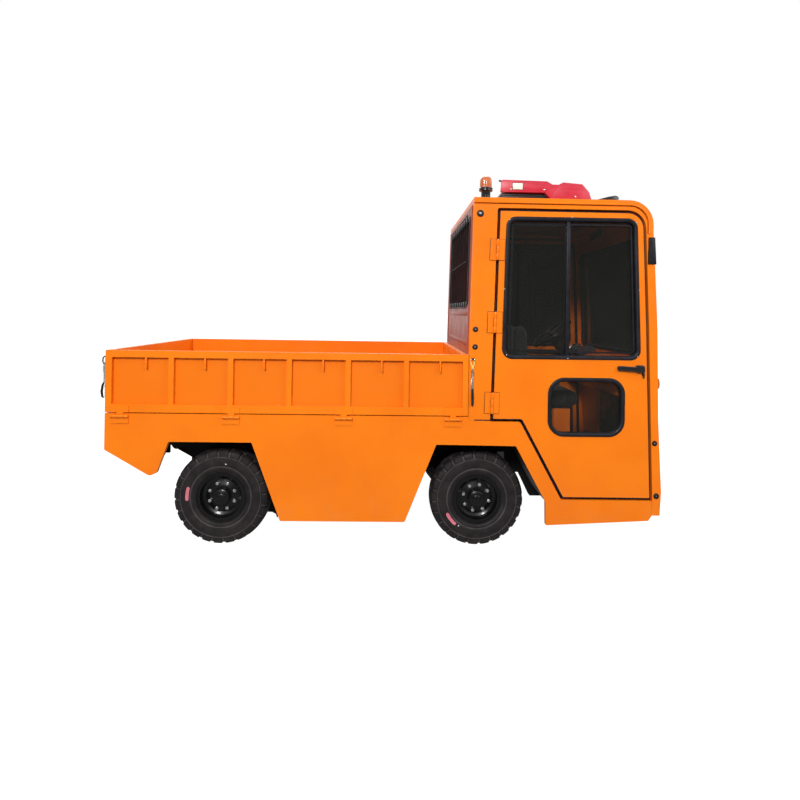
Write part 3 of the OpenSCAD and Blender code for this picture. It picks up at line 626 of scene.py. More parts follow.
# ------------------------------------------------------------------ doors
up, low, dr = rounded(UPPER, 10), rounded(LOWER, 12), rounded(DOOR, 10)
SEAL = [(15, 726.5), (13, 730), (6, 731.5), (-2, 731), (-9, 729), (-14, 724), (-15, 717), (-15, 697), (-14, 688), (-8, 680.5), (4, 679.5), (12, 681), (14, 684), (2, 686.5), (-1, 700), (-1, 716), (1, 725.5)]
SEAL2 = [(4, 726), (2, 730), (-3, 732), (-11, 731.5), (-18, 729), (-22, 723), (-22, 716), (-20, 711.5), (-20, 702.5), (-22, 698), (-21, 690), (-16, 682.5), (-6, 680.5), (3, 681.5), (4, 685), (-0.5, 686.5), (-0.5, 724.5)]
for sd, s in SIDES:
    body = f"door_{sd}"
    B = Build()
    B.rim(up, [(d, y) for d, y in SEAL2], s)
    B.rim(low, SEAL2, s)
    # the sliding pane's channel: middle post and its own thin frame inside the glass
    B.box((1110, min(-s * 700, -s * 721), 1188), (1132, max(-s * 700, -s * 721), 2021), 4)
    pane = rounded([[756, 1205, 30], [1117, 1205, 42], [1117, 2004, 20], [772, 2004, 20]], 6)
    B.rim(pane, [(0, 702), (-13, 702), (-14, 697), (-12, 693), (-2, 692), (0, 695)], s)
    pane2 = rounded([[1127, 1205, 20], [1545, 1205, 30], [1515, 2004, 20], [1127, 2004, 20]], 6)
    B.rim(pane2, [(0, 718), (-9, 718), (-10, 714), (-8, 712), (0, 712)], s)
    B.done(f"window_seals_{sd}", [seal_rubber], body, 50)

    B = Build()
    for x, z in [(745, 1190), (1125, 1172), (1559, 1190), (727, 1595), (1137, 2043), (1541, 2018), (1565, 1600), (752, 2022)]:
        B.dome(toward(x, -s * 730.6, z, (0, -s, 0)), 4.2, 2.4, 14)
    B.done(f"seal_screws_{sd}", [bare_steel], body)

    # outer handle: a lever with a housing at its hinge end, a lock and a hanging key tag
    B = Build()
    y = lambda a: -s * a
    lever = rounded([[1431, 1104, 13], [1560, 1095, 6], [1560, 1127, 6], [1431, 1133, 13]], 6)
    B.prism(lever, min(y(731), y(744)), max(y(731), y(744)), bev=4)
    house = rounded([[1548, 1090, 12], [1603, 1090, 12], [1603, 1139, 14], [1548, 1137, 8]], 6)
    B.prism(house, min(y(723), y(745.5)), max(y(723), y(745.5)), bev=5)
    pad = rounded([[1438, 1100, 10], [1470, 1098, 10], [1470, 1130, 10], [1438, 1132, 10]], 6)
    B.prism(pad, min(y(723), y(728)), max(y(723), y(728)), bev=1.5)
    B.lathe([(0, 0), (10, 0), (10, 4), (8.5, 5.5), (0, 5.5)], toward(1598, y(724), 1080, (0, -s, 0)), 24)
    tag = rounded([[1599, 1049, 5], [1606, 1062, 5], [1606, 1082, 6], [1593, 1084, 6], [1593, 1062, 5]], 4)
    B.prism(tag, min(y(729), y(732)), max(y(729), y(732)), bev=0.8)
    # inner handle and pull
    B.tube([(1440, y(684), 1110), (1440, y(668), 1110), (1452, y(661), 1108), (1540, y(661), 1098), (1552, y(668), 1097), (1552, y(684), 1097)], 7, 12)
    B.box((1560, min(y(686), y(672)), 1060), (1612, max(y(686), y(672)), 1150), 5)
    B.done(f"door_handles_{sd}", [gloss_black], body, 45)

    # soft gasket behind the gap round the door
    B = Build()
    B.rim(dr, [(-13, 679), (-14, 676), (-14, 668), (18, 668), (18, 697), (9, 697), (7.6, 681), (2, 679.5)], s)
    B.done(f"door_gasket_{sd}", [seal_rubber], "chassis", 50)

    # dark rubber strip on the door's edge face, widening the dark line of the door gap: painted shadow
    B = Build()
    B.rim(dr, [(-11.5, 724.6), (-11.5, 725.9), (-10.6, 726.5), (-7.6, 726.5), (-6.4, 725.6), (-6.4, 702), (-7.4, 702), (-7.4, 724.6)], s)
    B.done(f"door_edge_trim_{sd}", [seal_rubber], body, 45)

    # dark rubber plates a little larger than the hinge leaves, under them: a painted shadow outline round each hinge
    lean = math.degrees(math.atan((685 - 657) / (2087 - 785)))
    for who, lo, hi in ((body, 5, 46.5), ("chassis", -46.5, -5)):
        B = Build()
        for h in (109, 604.5, 1051):
            M = T(657, 0, 785) @ R(lean, "Y") @ T(0, 0, h)
            B.box((lo, min(y(724.4), y(726.8)), -66.5), (hi, max(y(724.4), y(726.8)), 66.5), 0.5, M=M)
        B.done(f"hinge_shadow_plates_{'door' if who == body else 'post'}_{sd}", [seal_rubber], who, 45)

    # door edge: a folded flange stiffens the inside of the panel
    B = Build()
    inner = rounded([[700, 1098, 20], [1590, 1100, 20], [1578, 1140, 8], [704, 1138, 8]], 4)
    B.prism(inner, min(y(686), y(678)), max(y(686), y(678)), bev=2)
    card = rounded([[1120, 350, 16], [1615, 350, 16], [1604, 660, 12], [1010, 655, 12], [940, 672, 12]], 5)
    B.prism(card, min(y(686), y(680)), max(y(686), y(680)), bev=2)
    B.done(f"door_inner_panels_{sd}", [black_plastic, orange_in], body)

# ------------------------------------------------------------------ cab outside
for sd, s in SIDES:
    y = lambda a: -s * a
    B = Build()
    # rubber plugs on the rear post and the front post
    for x, z, r in ((571, 2057, 21), (552, 1344, 16), (551, 1236, 16), (1676, 654, 15.5), (1691, 327, 16.5)):
        B.lathe([(r + 1, 0), (r + 1, 2), (r, 4.2), (r - 3, 6), (r * 0.55, 6.6), (r * 0.5, 5), (0, 4.6)], toward(x, y(724.5), z, (0, -s, 0)), 36)
    # block under the gutter's end on the front post, and a dark strip on the roof's front corner: painted shadow line
    # under the roof's edge
    blk = [(front_at(1763) - 46, 1763), (front_at(1763) + 6, 1763), (front_at(1848) + 6, 1848), (front_at(1929) + 6, 1929), (front_at(1929) - 34, 1929)]
    B.prism(blk, min(y(700), y(734)), max(y(700), y(734)), bev=4)
    arc = [(1501 + 152 * math.cos(a), 2008 + 152 * math.sin(a)) for a in [math.radians(4 + 6 * k) for k in range(9)]]
    arc += [(1501 + 147 * math.cos(a), 2008 + 147 * math.sin(a)) for a in [math.radians(52 - 6 * k) for k in range(9)]]
    B.prism(arc, min(y(690), y(712)), max(y(690), y(712)), bev=0)
    B.done(f"rubber_plugs_and_shadow_strip_{sd}", [seal_rubber], "chassis", 45)

    B = Build()
    B.lathe([(0, 0), (7.5, 0), (7.5, 1.2), (5, 2.4), (0, 2.6)], toward(571, y(729.3), 2057, (0, -s, 0)), 20)
    for x, z in ((552, 1344), (551, 1236), (1676, 654), (1691, 327)):
        B.lathe([(0, 0), (4, 0), (4, 0.8), (2.5, 1.4), (0, 1.5)], toward(x, y(728.9), z, (0, -s, 0)), 16)
    B.done(f"plug_screws_{sd}", [bare_steel], "chassis")

    # drip rail: along the roof's lower edge and down the front corner
    B = Build()
    path = [(545 + 955 * k / 12, 2128) for k in range(13)] + [(1501 + 120 * math.cos(a), 2008 + 120 * math.sin(a)) for a in [math.radians(84 - 7 * k) for k in range(13)]] + [(1621, 1975), (1620, 1952)]
    rows = []
    for i, p in enumerate(path):
        a, b = Vector(path[max(i - 1, 0)]), Vector(path[min(i + 1, len(path) - 1)])
        t = (b - a).normalized()
        nrm = Vector((-t.y, t.x))
        prof = [(-4, 724.5), (-5.5, 729), (-4, 733), (0, 734.5), (4, 733), (5, 729.5), (6, 724.5)]
        rows.append([(p[0] + nrm.x * d, y(w), p[1] + nrm.y * d) for d, w in prof])
    B.grid(rows, close_v=False, caps=True)
    # folded edge of the rear post
    B.box((519, min(y(723), y(726.5)), 792), (523, max(y(723), y(726.5)), 1180), 1.0)
    B.done(f"drip_rail_{sd}", [orange], "chassis", 40)

    # dark joint between the cab side and the skirt
    B = Build()
    B.box((553, min(y(722), y(726.4)), 783.5), (650, max(y(722), y(726.4)), 790.5), 0.8)
    B.done(f"sill_joint_{sd}", [seal_rubber], "chassis")

    # board latch on the rear post: keeper fork, yellow fork, spring, zinc links and a black grip
    B = Build()
    B.mi = 0
    for dx in (-11, 11):
        B.tube([(537, y(729), 1110), (537 + dx * 0.8, y(731), 1126), (537 + dx, y(733), 1150)], [5, 4.6, 4], 10)
    B.box((530, min(y(724), y(733)), 1100), (544, max(y(724), y(733)), 1122), 2)
    B.mi = 1
    B.box((524, min(y(724), y(740)), 1150), (530, max(y(724), y(740)), 1164), 1.5)
    B.box((545, min(y(724), y(740)), 1150), (551, max(y(724), y(740)), 1164), 1.5)
    B.tube([(537, y(732), 985), (537, y(732), 1104)], 3.2, 10)
    coil = []
    for k in range(8 * 12 + 1):
        a = 2 * math.pi * k / 12
        coil.append((537 + 8 * math.cos(a), y(733 + 8 * math.sin(a) * 0.9), 1040 + 52 * k / 96))
    B.tube(coil, 1.6, 6)
    B.box((528, min(y(724), y(727)), 960), (546, max(y(724), y(727)), 1036), 1)
    for z in (972, 1026):
        B.bolt(toward(537, y(726.5), z, (0, -s, 0)), 5, 4)
    B.mi = 2
    B.tube([(537, y(735), 986), (537, y(736), 975), (538, y(737), 930), (538, y(736), 884), (538, y(734), 876)], [5, 7.5, 8, 8, 5], 14)
    B.tube([(526, y(733), 1163), (548, y(733), 1163)], 4.5, 10)
    B.done(f"board_latch_{sd}", [yellow_zinc, zinc, gloss_black], "chassis", 45)

    # small corner marker lamp on the front post
    B = Build()
    B.prism([(front_at(990) - 4, 990), (front_at(990) + 10, 994), (front_at(1024) + 14, 1024), (front_at(1058) + 10, 1054), (front_at(1058) - 4, 1058)], min(y(697), y(723)), max(y(697), y(723)), bev=3)
    B.done(f"corner_marker_{sd}", [amber], "chassis", 45)

# ------------------------------------------------------------------ drop sides and tailgate
for sd, s in SIDES:
    y = lambda a: -s * a
    body = f"drop_side_{sd}"
    B = Build()
    for x, z in ((-1446, 1147), (-1092, 1147), (-736, 1147), (-377, 1147), (-19, 1147), (339, 1147)):
        tongue = [(x - 5, 1147), (x - 4, 1081), (x - 1, 1075), (x + 3, 1075), (x + 5, 1081), (x + 5, 1147)]
        B.prism(tongue, min(y(697.5), y(723)), max(y(697.5), y(723)), bev=1.2)
        B.tube([(x + 1, y(698), 1092), (x + 1, y(718), 1086), (x + 1, y(722), 1076)], 3, 8)
    # inside stiffener and a rounded top edge
    B.tube([(-1682, y(708), 1185), (509, y(708), 1185)], 2.6, 8)
    B.done(f"side_board_pressings_{sd}", [orange_board], body, 40)

    # latch at the rear end of the board, seen edge-on
    B = Build()
    B.box((-1690, min(y(702), y(722)), 900), (-1686, max(y(702), y(722)), 1150), 1)
    B.tube([(-1699, y(712), 985), (-1699, y(712), 1104)], 3.2, 10)
    coil = []
    for k in range(8 * 12 + 1):
        a = 2 * math.pi * k / 12
        coil.append((-1699 + 8 * math.cos(a), y(712 + 7 * math.sin(a)), 1040 + 52 * k / 96))
    B.tube(coil, 1.6, 6)
    B.box((-1704, min(y(703), y(721)), 1098), (-1689, max(y(703), y(721)), 1118), 2)
    for z in (968, 1030):
        B.bolt(toward(-1690, y(712), z, (-1, 0, 0)), 5, 5)
    B.mi = 1
    B.tube([(-1694, y(712), 1150), (-1706, y(712), 1140), (-1708, y(712), 1116), (-1702, y(712), 1104)], 4.2, 10)
    B.tube([(-1700, y(712), 990), (-1707, y(712), 972), (-1712, y(712), 935), (-1708, y(712), 905), (-1700, y(712), 897)], [5, 7, 7.5, 7, 4.5], 12)
    B.done(f"rear_latch_{sd}", [zinc, gloss_black], body, 45)

B = Build()
for i in range(-2, 2):
    x0 = i * 338
    B.prism([(x0 + 164, 1147), (x0 + 165, 1081), (x0 + 168, 1075), (x0 + 172, 1075), (x0 + 174, 1081), (x0 + 174, 1147)], BED_X0 + 2, BED_X0 + 27, "yz", 1.2)
B.tube([(BED_X0 + 17, -681, 1185), (BED_X0 + 17, 681, 1185)], 2.6, 8)
B.done("tailgate_pressings", [orange_board], "tail_board", 40)

# chequer pattern on the bed floor
B = Build()
nx, ny = 40, 25
for i in range(nx):
    for j in range(ny):
        cx, cy = -1622 + (2082 / (nx - 1)) * i, -662 + (1324 / (ny - 1)) * j
        a = math.radians(45 if (i + j) % 2 else -45)
        ux, uy = math.cos(a), math.sin(a)
        pts = [(-13, 0), (-6, 2.6), (6, 2.6), (13, 0), (6, -2.6), (-6, -2.6)]
        base = [(cx + p * ux - q * uy, cy + p * uy + q * ux, 805.6) for p, q in pts]
        top = [(cx + (p * ux - q * uy) * 0.7, cy + (p * uy + q * ux) * 0.7, 807.2) for p, q in pts]
        B.grid([base, top], close_v=False, caps=True)
B.done("bed_floor_chequers", [orange_bed], "chassis", 30)

# black rubber strips along the bed's edges, behind the gaps under the drop sides and the tailgate: painted shade in
# these gaps
B = Build()
for s in (1, -1):
    B.box((-1640, min(-s * 679, -s * 689), 806), (477, max(-s * 679, -s * 689), 816), 1.5)
B.box((-1650, -678, 806), (-1641, 678, 816), 1.5)
B.done("bed_edge_shade_strips", [seal_rubber], "chassis", 50)

# headboard: a rounded top edge
B = Build()
B.tube([(BED_X1 - 17, -681, 1185), (BED_X1 - 17, 681, 1185)], 2.6, 8)
B.done("headboard_edge", [orange_board], "chassis")

# ------------------------------------------------------------------ rear wall and windows of the cab
B = Build()
def wall_rim(o, prof):
    rows = []
    for d, dx in prof:
        rows.append([(wall_x(p[1]) + dx, p[0], p[1]) for p in offset(o, d)])
    return rows
rw = rounded([[-575, 1500, 45], [575, 1500, 45], [575, 2060, 45], [-575, 2060, 45]], 8)
B.grid(wall_rim(rw, [(14, -1), (12, -5), (4, -7), (-8, -6), (-16, -2), (-18, 4), (-18, 26), (-16, 34), (-6, 40), (8, 40), (13, 36.5), (1, 34), (1, 1)]))
B.done("rear_window_seal", [seal_rubber], "chassis", 50)
# guard bars over the rear window, and a folded trim strip on the wall's leaning edges
B = Build()
for k in range(9):
    yy = -480 + 120 * k
    B.tube([(wall_x(1478) - 9, yy, 1478), (wall_x(2082) - 9, yy, 2082)], 2.6, 8)
for z in (1478, 1780, 2082):
    B.tube([(wall_x(z) - 10, -500, z), (wall_x(z) - 10, 500, z)], 3.4, 8)
B.done("rear_window_guard", [black_steel], "chassis", 50)
B = Build()
for s in (1, -1):
    pts = [(wall_x(z) - 1.2, -s * 668, z) for z in (1190, 1266, 1500, 1800, 2112)]
    B.tube(pts, 5.5, 8, flat=1)
for z in (1250, 1440):
    B.box((wall_x(z) - 3, -560, z - 14), (wall_x(z) + 2, 560, z + 14), 2)
# the rear wall's ribs and edge strips take the same painted shade
B.done("rear_wall_ribs", [rear_wall_painted_shade], "chassis", 50)

# windscreen seal and wiper
B = Build()
def screen_rim(o, prof):
    return [[(front_at(p[1]) + dx, p[0], p[1]) for p in offset(o, d)] for d, dx in prof]
ws = rounded([[-615, 1190, 55], [615, 1190, 55], [615, 1938, 55], [-615, 1938, 55]], 8)
ws_dense = []
for i, p in enumerate(ws):
    q = ws[(i + 1) % len(ws)]
    n = max(1, int(math.hypot(q[0] - p[0], q[1] - p[1]) / 60))
    ws_dense += [(p[0] + (q[0] - p[0]) * k / n, p[1] + (q[1] - p[1]) * k / n) for k in range(n)]
B.grid(screen_rim(ws_dense, [(15, 0), (13, 4), (5, 6), (-8, 4.5), (-18, 0), (-20, -8), (-20, -24), (-16, -30), (-4, -32), (12, -31), (14, -27.5), (1, -25), (1, -1)]))
B.done("windscreen_seal", [seal_rubber], "chassis", 50)
B = Build()
fx = lambda z, d: front_at(z) + d
B.tube([(fx(1180, 4), 60, 1175), (fx(1180, 12), 60, 1178), (fx(1300, 14), 110, 1300), (fx(1480, 13), 185, 1480)], [7, 7, 5, 3.5], 10)
B.lathe([(0, 0), (22, 0), (22, 6), (16, 12), (0, 13)], toward(fx(1178, -1), 60, 1175, (1, 0, 0.03)), 28)
B.box((fx(1480, 1), 178, 1230), (fx(1480, 8), 190, 1750), 2, M=T(0, 0, 0))
B.done("wiper", [gloss_black], "chassis", 45)

# ------------------------------------------------------------------ lamps
B = Build()
for s in (1, -1):
    c = (front_at(845) - 6, -s * 470, 845)
    M = toward(*c, (1, 0, 0.02))
    B.mi = 0
    B.lathe([(68, 4), (80, 4), (82, 8), (82, 18), (79, 23.5), (74, 25), (69, 23), (68, 18)], M, 72, closed=True)
    B.mi = 1
    B.lathe([(0, 6.5), (30, 7.5), (55, 12), (69, 18), (69, 15), (55, 9), (30, 5), (0, 4)], M, 72)
    B.mi = 3
    B.lathe([(0, 8), (9, 8), (9, 14), (5, 19), (0, 20)], M, 24)
    B.mi = 2
    # fluted lens
    n = 72
    rows = []
    for r, z in ((69, 18.5), (62, 20.5), (48, 22.6), (30, 23.6), (12, 24)):
        rows.append([(r * math.cos(2 * math.pi * k / n), r * math.sin(2 * math.pi * k / n), z + 0.5 * math.cos(r * math.sin(2 * math.pi * k / n) * 0.9)) for k in range(n)])
    rows2 = [[(p[0], p[1], p[2] - 1.6) for p in r] for r in rows[::-1]]
    B.grid(rows + rows2, M)
    B.lathe([(12.5, 24), (12.5, 22.2), (0, 22.4), (0, 24.2)], M, 36, closed=False)
B.done("headlamps", [black_rim, mirror_metal, lens_glass, white_plate], "chassis", 45, replaces=("lamps",))
B = Build()
for s in (1, -1):
    a, b = sorted((-s * 530, -s * 680))
    B.mi = 0
    B.box((BED_X0 - 4, a, 640), (BED_X0 + 0.5, b, 740), 1.5)
    o = rounded([[a + 2, 642, 9], [b - 2, 642, 9], [b - 2, 738, 9], [a + 2, 738, 9]], 5)
    B.grid([[(BED_X0 - 3, p[0], p[1]) for p in offset(o, d)] if k == 0 else [(BED_X0 - q, p[0], p[1]) for p in offset(o, d)] for k, (d, q) in enumerate([(0, 3), (0, 13), (-1, 14), (-5, 14), (-6, 12), (-6, 3)])])
    for i, mi in ((0, 1), (1, 2), (2, 1)):
        B.mi = mi
        w = (b - a - 16) / 3
        y0 = a + 8 + w * i
        rows = []
        for k in range(9):
            z = 649 + 82 * k / 8
            rows.append([(BED_X0 - 2, y0 + 1, z), (BED_X0 - 10 - 0.8 * (k % 2), y0 + 1, z), (BED_X0 - 12 - 1.0 * (k % 2), y0 + w / 2, z), (BED_X0 - 10 - 0.8 * (k % 2), y0 + w - 1, z), (BED_X0 - 2, y0 + w - 1, z)])
        B.grid(rows, close_v=False, caps=True)
B.done("tail_lamps", [gloss_black, red_lens, amber], "chassis", 40)

# ------------------------------------------------------------------ beacon
B = Build()
M = T(615, -640, 2158)
B.mi = 0
B.lathe([(0, 0), (46, 0), (46, 4), (42, 9), (33, 12), (29, 15), (29, 46), (31, 50), (40, 52), (43, 55), (43, 61), (41, 64), (43, 67), (43, 71), (40, 74), (36, 75), (0, 75)], M, 48)
for k in range(3):
    a = 2 * math.pi * (k + 0.2) / 3
    B.bolt(M @ T(38 * math.cos(a), 38 * math.sin(a), 6), 4, 7)
B.mi = 1
n = 96
rows = []
for r, z, f in ((36.5, 74, 1), (36.5, 90, 1), (36.2, 108, 1), (35.2, 122, 1), (32.5, 133, 0.7), (26, 140.5, 0.4), (15, 144.6, 0.1), (5, 145.8, 0)):
    rows.append([((r + 0.7 * f * math.cos(24 * 2 * math.pi * k / n)) * math.cos(2 * math.pi * k / n), (r + 0.7 * f * math.cos(24 * 2 * math.pi * k / n)) * math.sin(2 * math.pi * k / n), z) for k in range(n)])
B.grid(rows, M, close_v=False, caps=True)
B.done("beacon_light", [gloss_black, amber], "chassis", 30, replaces=("beacon",))

# ------------------------------------------------------------------ roof unit
AC = [[757, 2272, 4], [1065, 2272, 4], [1105, 2232, 10], [1155, 2160, 4], [1412, 2160, 6], [1372, 2282, 20], [1324, 2336, 16],
      [1190, 2346, 12], [1162, 2330, 10], [1120, 2330, 10], [1080, 2351, 12], [768, 2356, 14]]
ac = rounded(AC, 6)
B = Build()
rows = []
for yy, d in ((349.5, -3.6), (348.6, -1.8), (346.8, -0.6), (343, 0), (316, 0), (300, 0), (285, 0), (272, 0), (262, 0), (250, 0), (120, 0)):
    lim = lookup(yy, [(262, 846), (272, 843), (316, 773), (351, 758)]) - d
    rows.append([(max(p[0], lim), -yy, p[1]) for p in (offset(ac, d) if d else ac)])
rows += [[(p[0], -p[1], p[2]) for p in r] for r in rows[::-1]]
B.grid(rows, close_v=False, caps=True)
# lower flange of the cover's flank and the step under its raised front part
for s in (1, -1):
    B.box((778, min(-s * 344, -s * 351), 2272), (1060, max(-s * 344, -s * 351), 2277), 1.5)
    B.box((1166, min(-s * 345, -s * 350.5), 2299), (1338, max(-s * 345, -s * 350.5), 2304), 1.5)
B.mi = 1
for s in (1, -1):
    for x, z in ((834, 2291), (1063, 2291), (1276, 2249)):
        B.dome(toward(x, -s * 348.6, z, (0, -s, 0)), 6, 3.2, 16)
B.mi = 2
# vent base with louvres
B.box((780, -322, 2160), (1120, 322, 2270), 6)
for k in range(7):
    z = 2172 + 13.5 * k
    for s in (1, -1):
        B.box((784, min(-s * 318, -s * 329), z), (1096 - 5 * k, max(-s * 318, -s * 329), z + 5), 1.2)
    B.box((774, -316, z), (786, 316, z + 5), 1.2)
# outlet slats in the set-back rear end
for k in range(5):
    z = 2284 + 13 * k
    B.box((839, -262, z), (849, 262, z + 4), 1.2)
for s in (1, -1):
    B.mi = 3
    B.box((842, min(-s * 346, -s * 350.6), 2287), (917, max(-s * 346, -s * 350.6), 2336), 1)
    B.mi = 4
    B.box((846, min(-s * 348, -s * 351.6), 2290), (913, max(-s * 348, -s * 351.6), 2333), 0.8)
    B.mi = 3
    B.tube([(780, -s * 336, 2340), (762, -s * 338, 2348), (750, -s * 338, 2350)], [6, 6.5, 6], 12)
B.mi = 0
B.box((1200, -200, 2338), (1300, 200, 2346), 3)
ob = B.done("roof_unit", [crimson, zinc, black_plastic, gloss_black, white_plate], "chassis", 40, replaces=("roof_ac_unit",))

# the low black aerial foot ahead of the roof unit
B = Build()
wedge = [(1312, 2163), (1440, 2160), (1462, 2160), (1464, 2190), (1456, 2200), (1440, 2203), (1400, 2196), (1330, 2177)]
B.prism(wedge, -640, -606, bev=5)
B.box((1436, -648, 2157), (1462, -598, 2166), 3)
B.done("aerial_foot", [gloss_black], "chassis", 45)

# ------------------------------------------------------------------ inside the cab
B = Build()
B.mi = 4
dash = rounded([[1524, 902, 10], [1658, 884, 10], [1654, 1148, 10], [1594, 1163, 30], [1496, 1119, 14], [1486, 1062, 14]], 5)
B.prism(dash, -660, 660, bev=8)
B.box((1478, -600, 930), (1530, -180, 1060), 8)
B.mi = 0
B.box((1474, -420, 1046), (1484, -360, 1054), 3)
B.mi = 1
pod = []
for k in range(25):
    a = math.pi * k / 24
    pod.append((1554 - 60 * math.cos(a), 1140 + 60 * math.sin(a)))
pod += [(1614, 1120), (1494, 1120)]
B.prism(pod, 170, 430, bev=10)
B.mi = 2
for yy in (215, 300, 385):
    M = toward(1502, yy, 1168, (-0.82, 0, 0.57))
    B.lathe([(0, -4), (36, -4), (36, 4), (33, 6), (31, 3), (0, 2.4)], M, 40)
B.mi = 3
for yy in (215, 300, 385):
    M = toward(1502, yy, 1168, (-0.82, 0, 0.57))
    for k in range(11):
        a = math.radians(-30 + 24 * k)
        B.box((-1, 22, 2.2), (1, 28, 3), 0.3, M=M @ R(math.degrees(a) - 90, "Z"))
    B.box((-1, -4, 3), (1, 20, 3.8), 0.3, M=M @ R(40 if yy == 300 else -25, "Z"))
B.mi = 0
for k in range(6):
    B.box((1484, 20 + 24 * k, 1075), (1496, 36 + 24 * k, 1100), 3)
B.done("dashboard_set", [black_plastic, pod_plastic, dial_black, dot_white, orange_in], "chassis", 40, replaces=("dashboard",))

# steering wheel, column cover and pedal rubbers
MC = T(1308, 300, 1292) @ R(-37, "Y")
B = Build()
rows = []
n = 96
for k in range(n):
    a = 2 * math.pi * k / n
    r = 12.6 + 0.5 * math.cos(a * 32)
    rows.append([((165 + r * math.cos(b)) * math.cos(a), (165 + r * math.cos(b)) * math.sin(a), r * math.sin(b)) for b in [2 * math.pi * j / 16 for j in range(16)]])
B.grid(rows, MC)
for a in (30, 150, 270):
    B.prism([(30, -15), (90, -11), (158, -13), (158, 13), (90, 11), (30, 15)], -7, 3, "xy", 3, M=MC @ R(a, "Z"))
B.lathe([(0, -30), (34, -30), (38, -26), (38, -2), (34, 5), (24, 8.5), (8, 10), (0, 10)], MC, 48)
B.done("steering_wheel_rim", [gloss_black], "hand_wheel", 45, replaces=("steering_wheel",))
B = Build()
B.lathe([(0, -34), (30, -34), (44, -44), (47, -70), (46, -150), (38, -190), (30, -196), (0, -196)], MC, 40)
B.tube([MC @ Vector((0, 40, -70)), MC @ Vector((0, 90, -62)), MC @ Vector((0, 140, -50))], [7, 5, 8], 10)
B.done("column_cover", [black_plastic], "chassis", 45)
B = Build()
for yy, w, h in ((210, 60, 120), (330, 90, 120), (430, 60, 90)):
    M = T(1590, yy - w / 2, 326 + h + 10) @ R(30, "Y")
    B.box((-7, 2, 2), (0.5, w - 2, 58), 2, M=M)
    for k in range(5):
        B.box((-9.5, 5, 7 + 10 * k), (-6, w - 5, 11 + 10 * k), 1, M=M)
B.done("pedal_rubbers", [seal_rubber], "chassis", 45)

# floor mat with ribs, seat box lid and latches, and a black sheet on the far wall inside: painted shade in the footwell
B = Build()
B.box((1200, -640, 326), (1560, 640, 331), 2)
for k in range(24):
    B.box((1210 + 14.5 * k, -620, 330), (1216 + 14.5 * k, 620, 333), 1.2)
# painted shade: black sheet on the inside of the front wall, darkening the footwell
B.box((1640, -640, 236), (1645, 130, 880), 1.5)
B.done("floor_mat_and_footwell_shade", [seal_rubber], "chassis", 45)
B = Build()
B.box((1184, -560, 700), (1190, -60, 820), 2)
B.box((1184, 60, 700), (1190, 560, 820), 2)
for yy in (-310, 310):
    B.box((1188, yy - 22, 752), (1197, yy + 22, 776), 3)
B.box((556, -598, 841), (1183, 598, 846), 2)
B.done("seat_box_lids", [black_plastic], "chassis", 45)
B = Build()
# brackets that carry the seat backs
for s in (1, -1):
    for d in (-150, 150):
        B.tube([(880, s * 330 + d, 842), (862, s * 330 + d, 930), (846, s * 330 + d, 1200)], 9, 10)
B.done("seat_back_stays", [black_steel], "chassis", 45)
# roof lining and mirror
B = Build()
B.box((585, -640, 2112), (1500, 640, 2123), 4)
B.done("roof_lining", [plastic("maroon_roof_lining", (0.30, 0.06, 0.07), 0.8, 500, 0.3)], "chassis", 45)
B = Build()
B.tube([(1560, 0, 2100), (1555, 0, 2070), (1545, 0, 2050)], 5, 8)
B.box((1532, -110, 2010), (1546, 110, 2065), 6)
B.done("inside_mirror", [gloss_black], "chassis", 45)


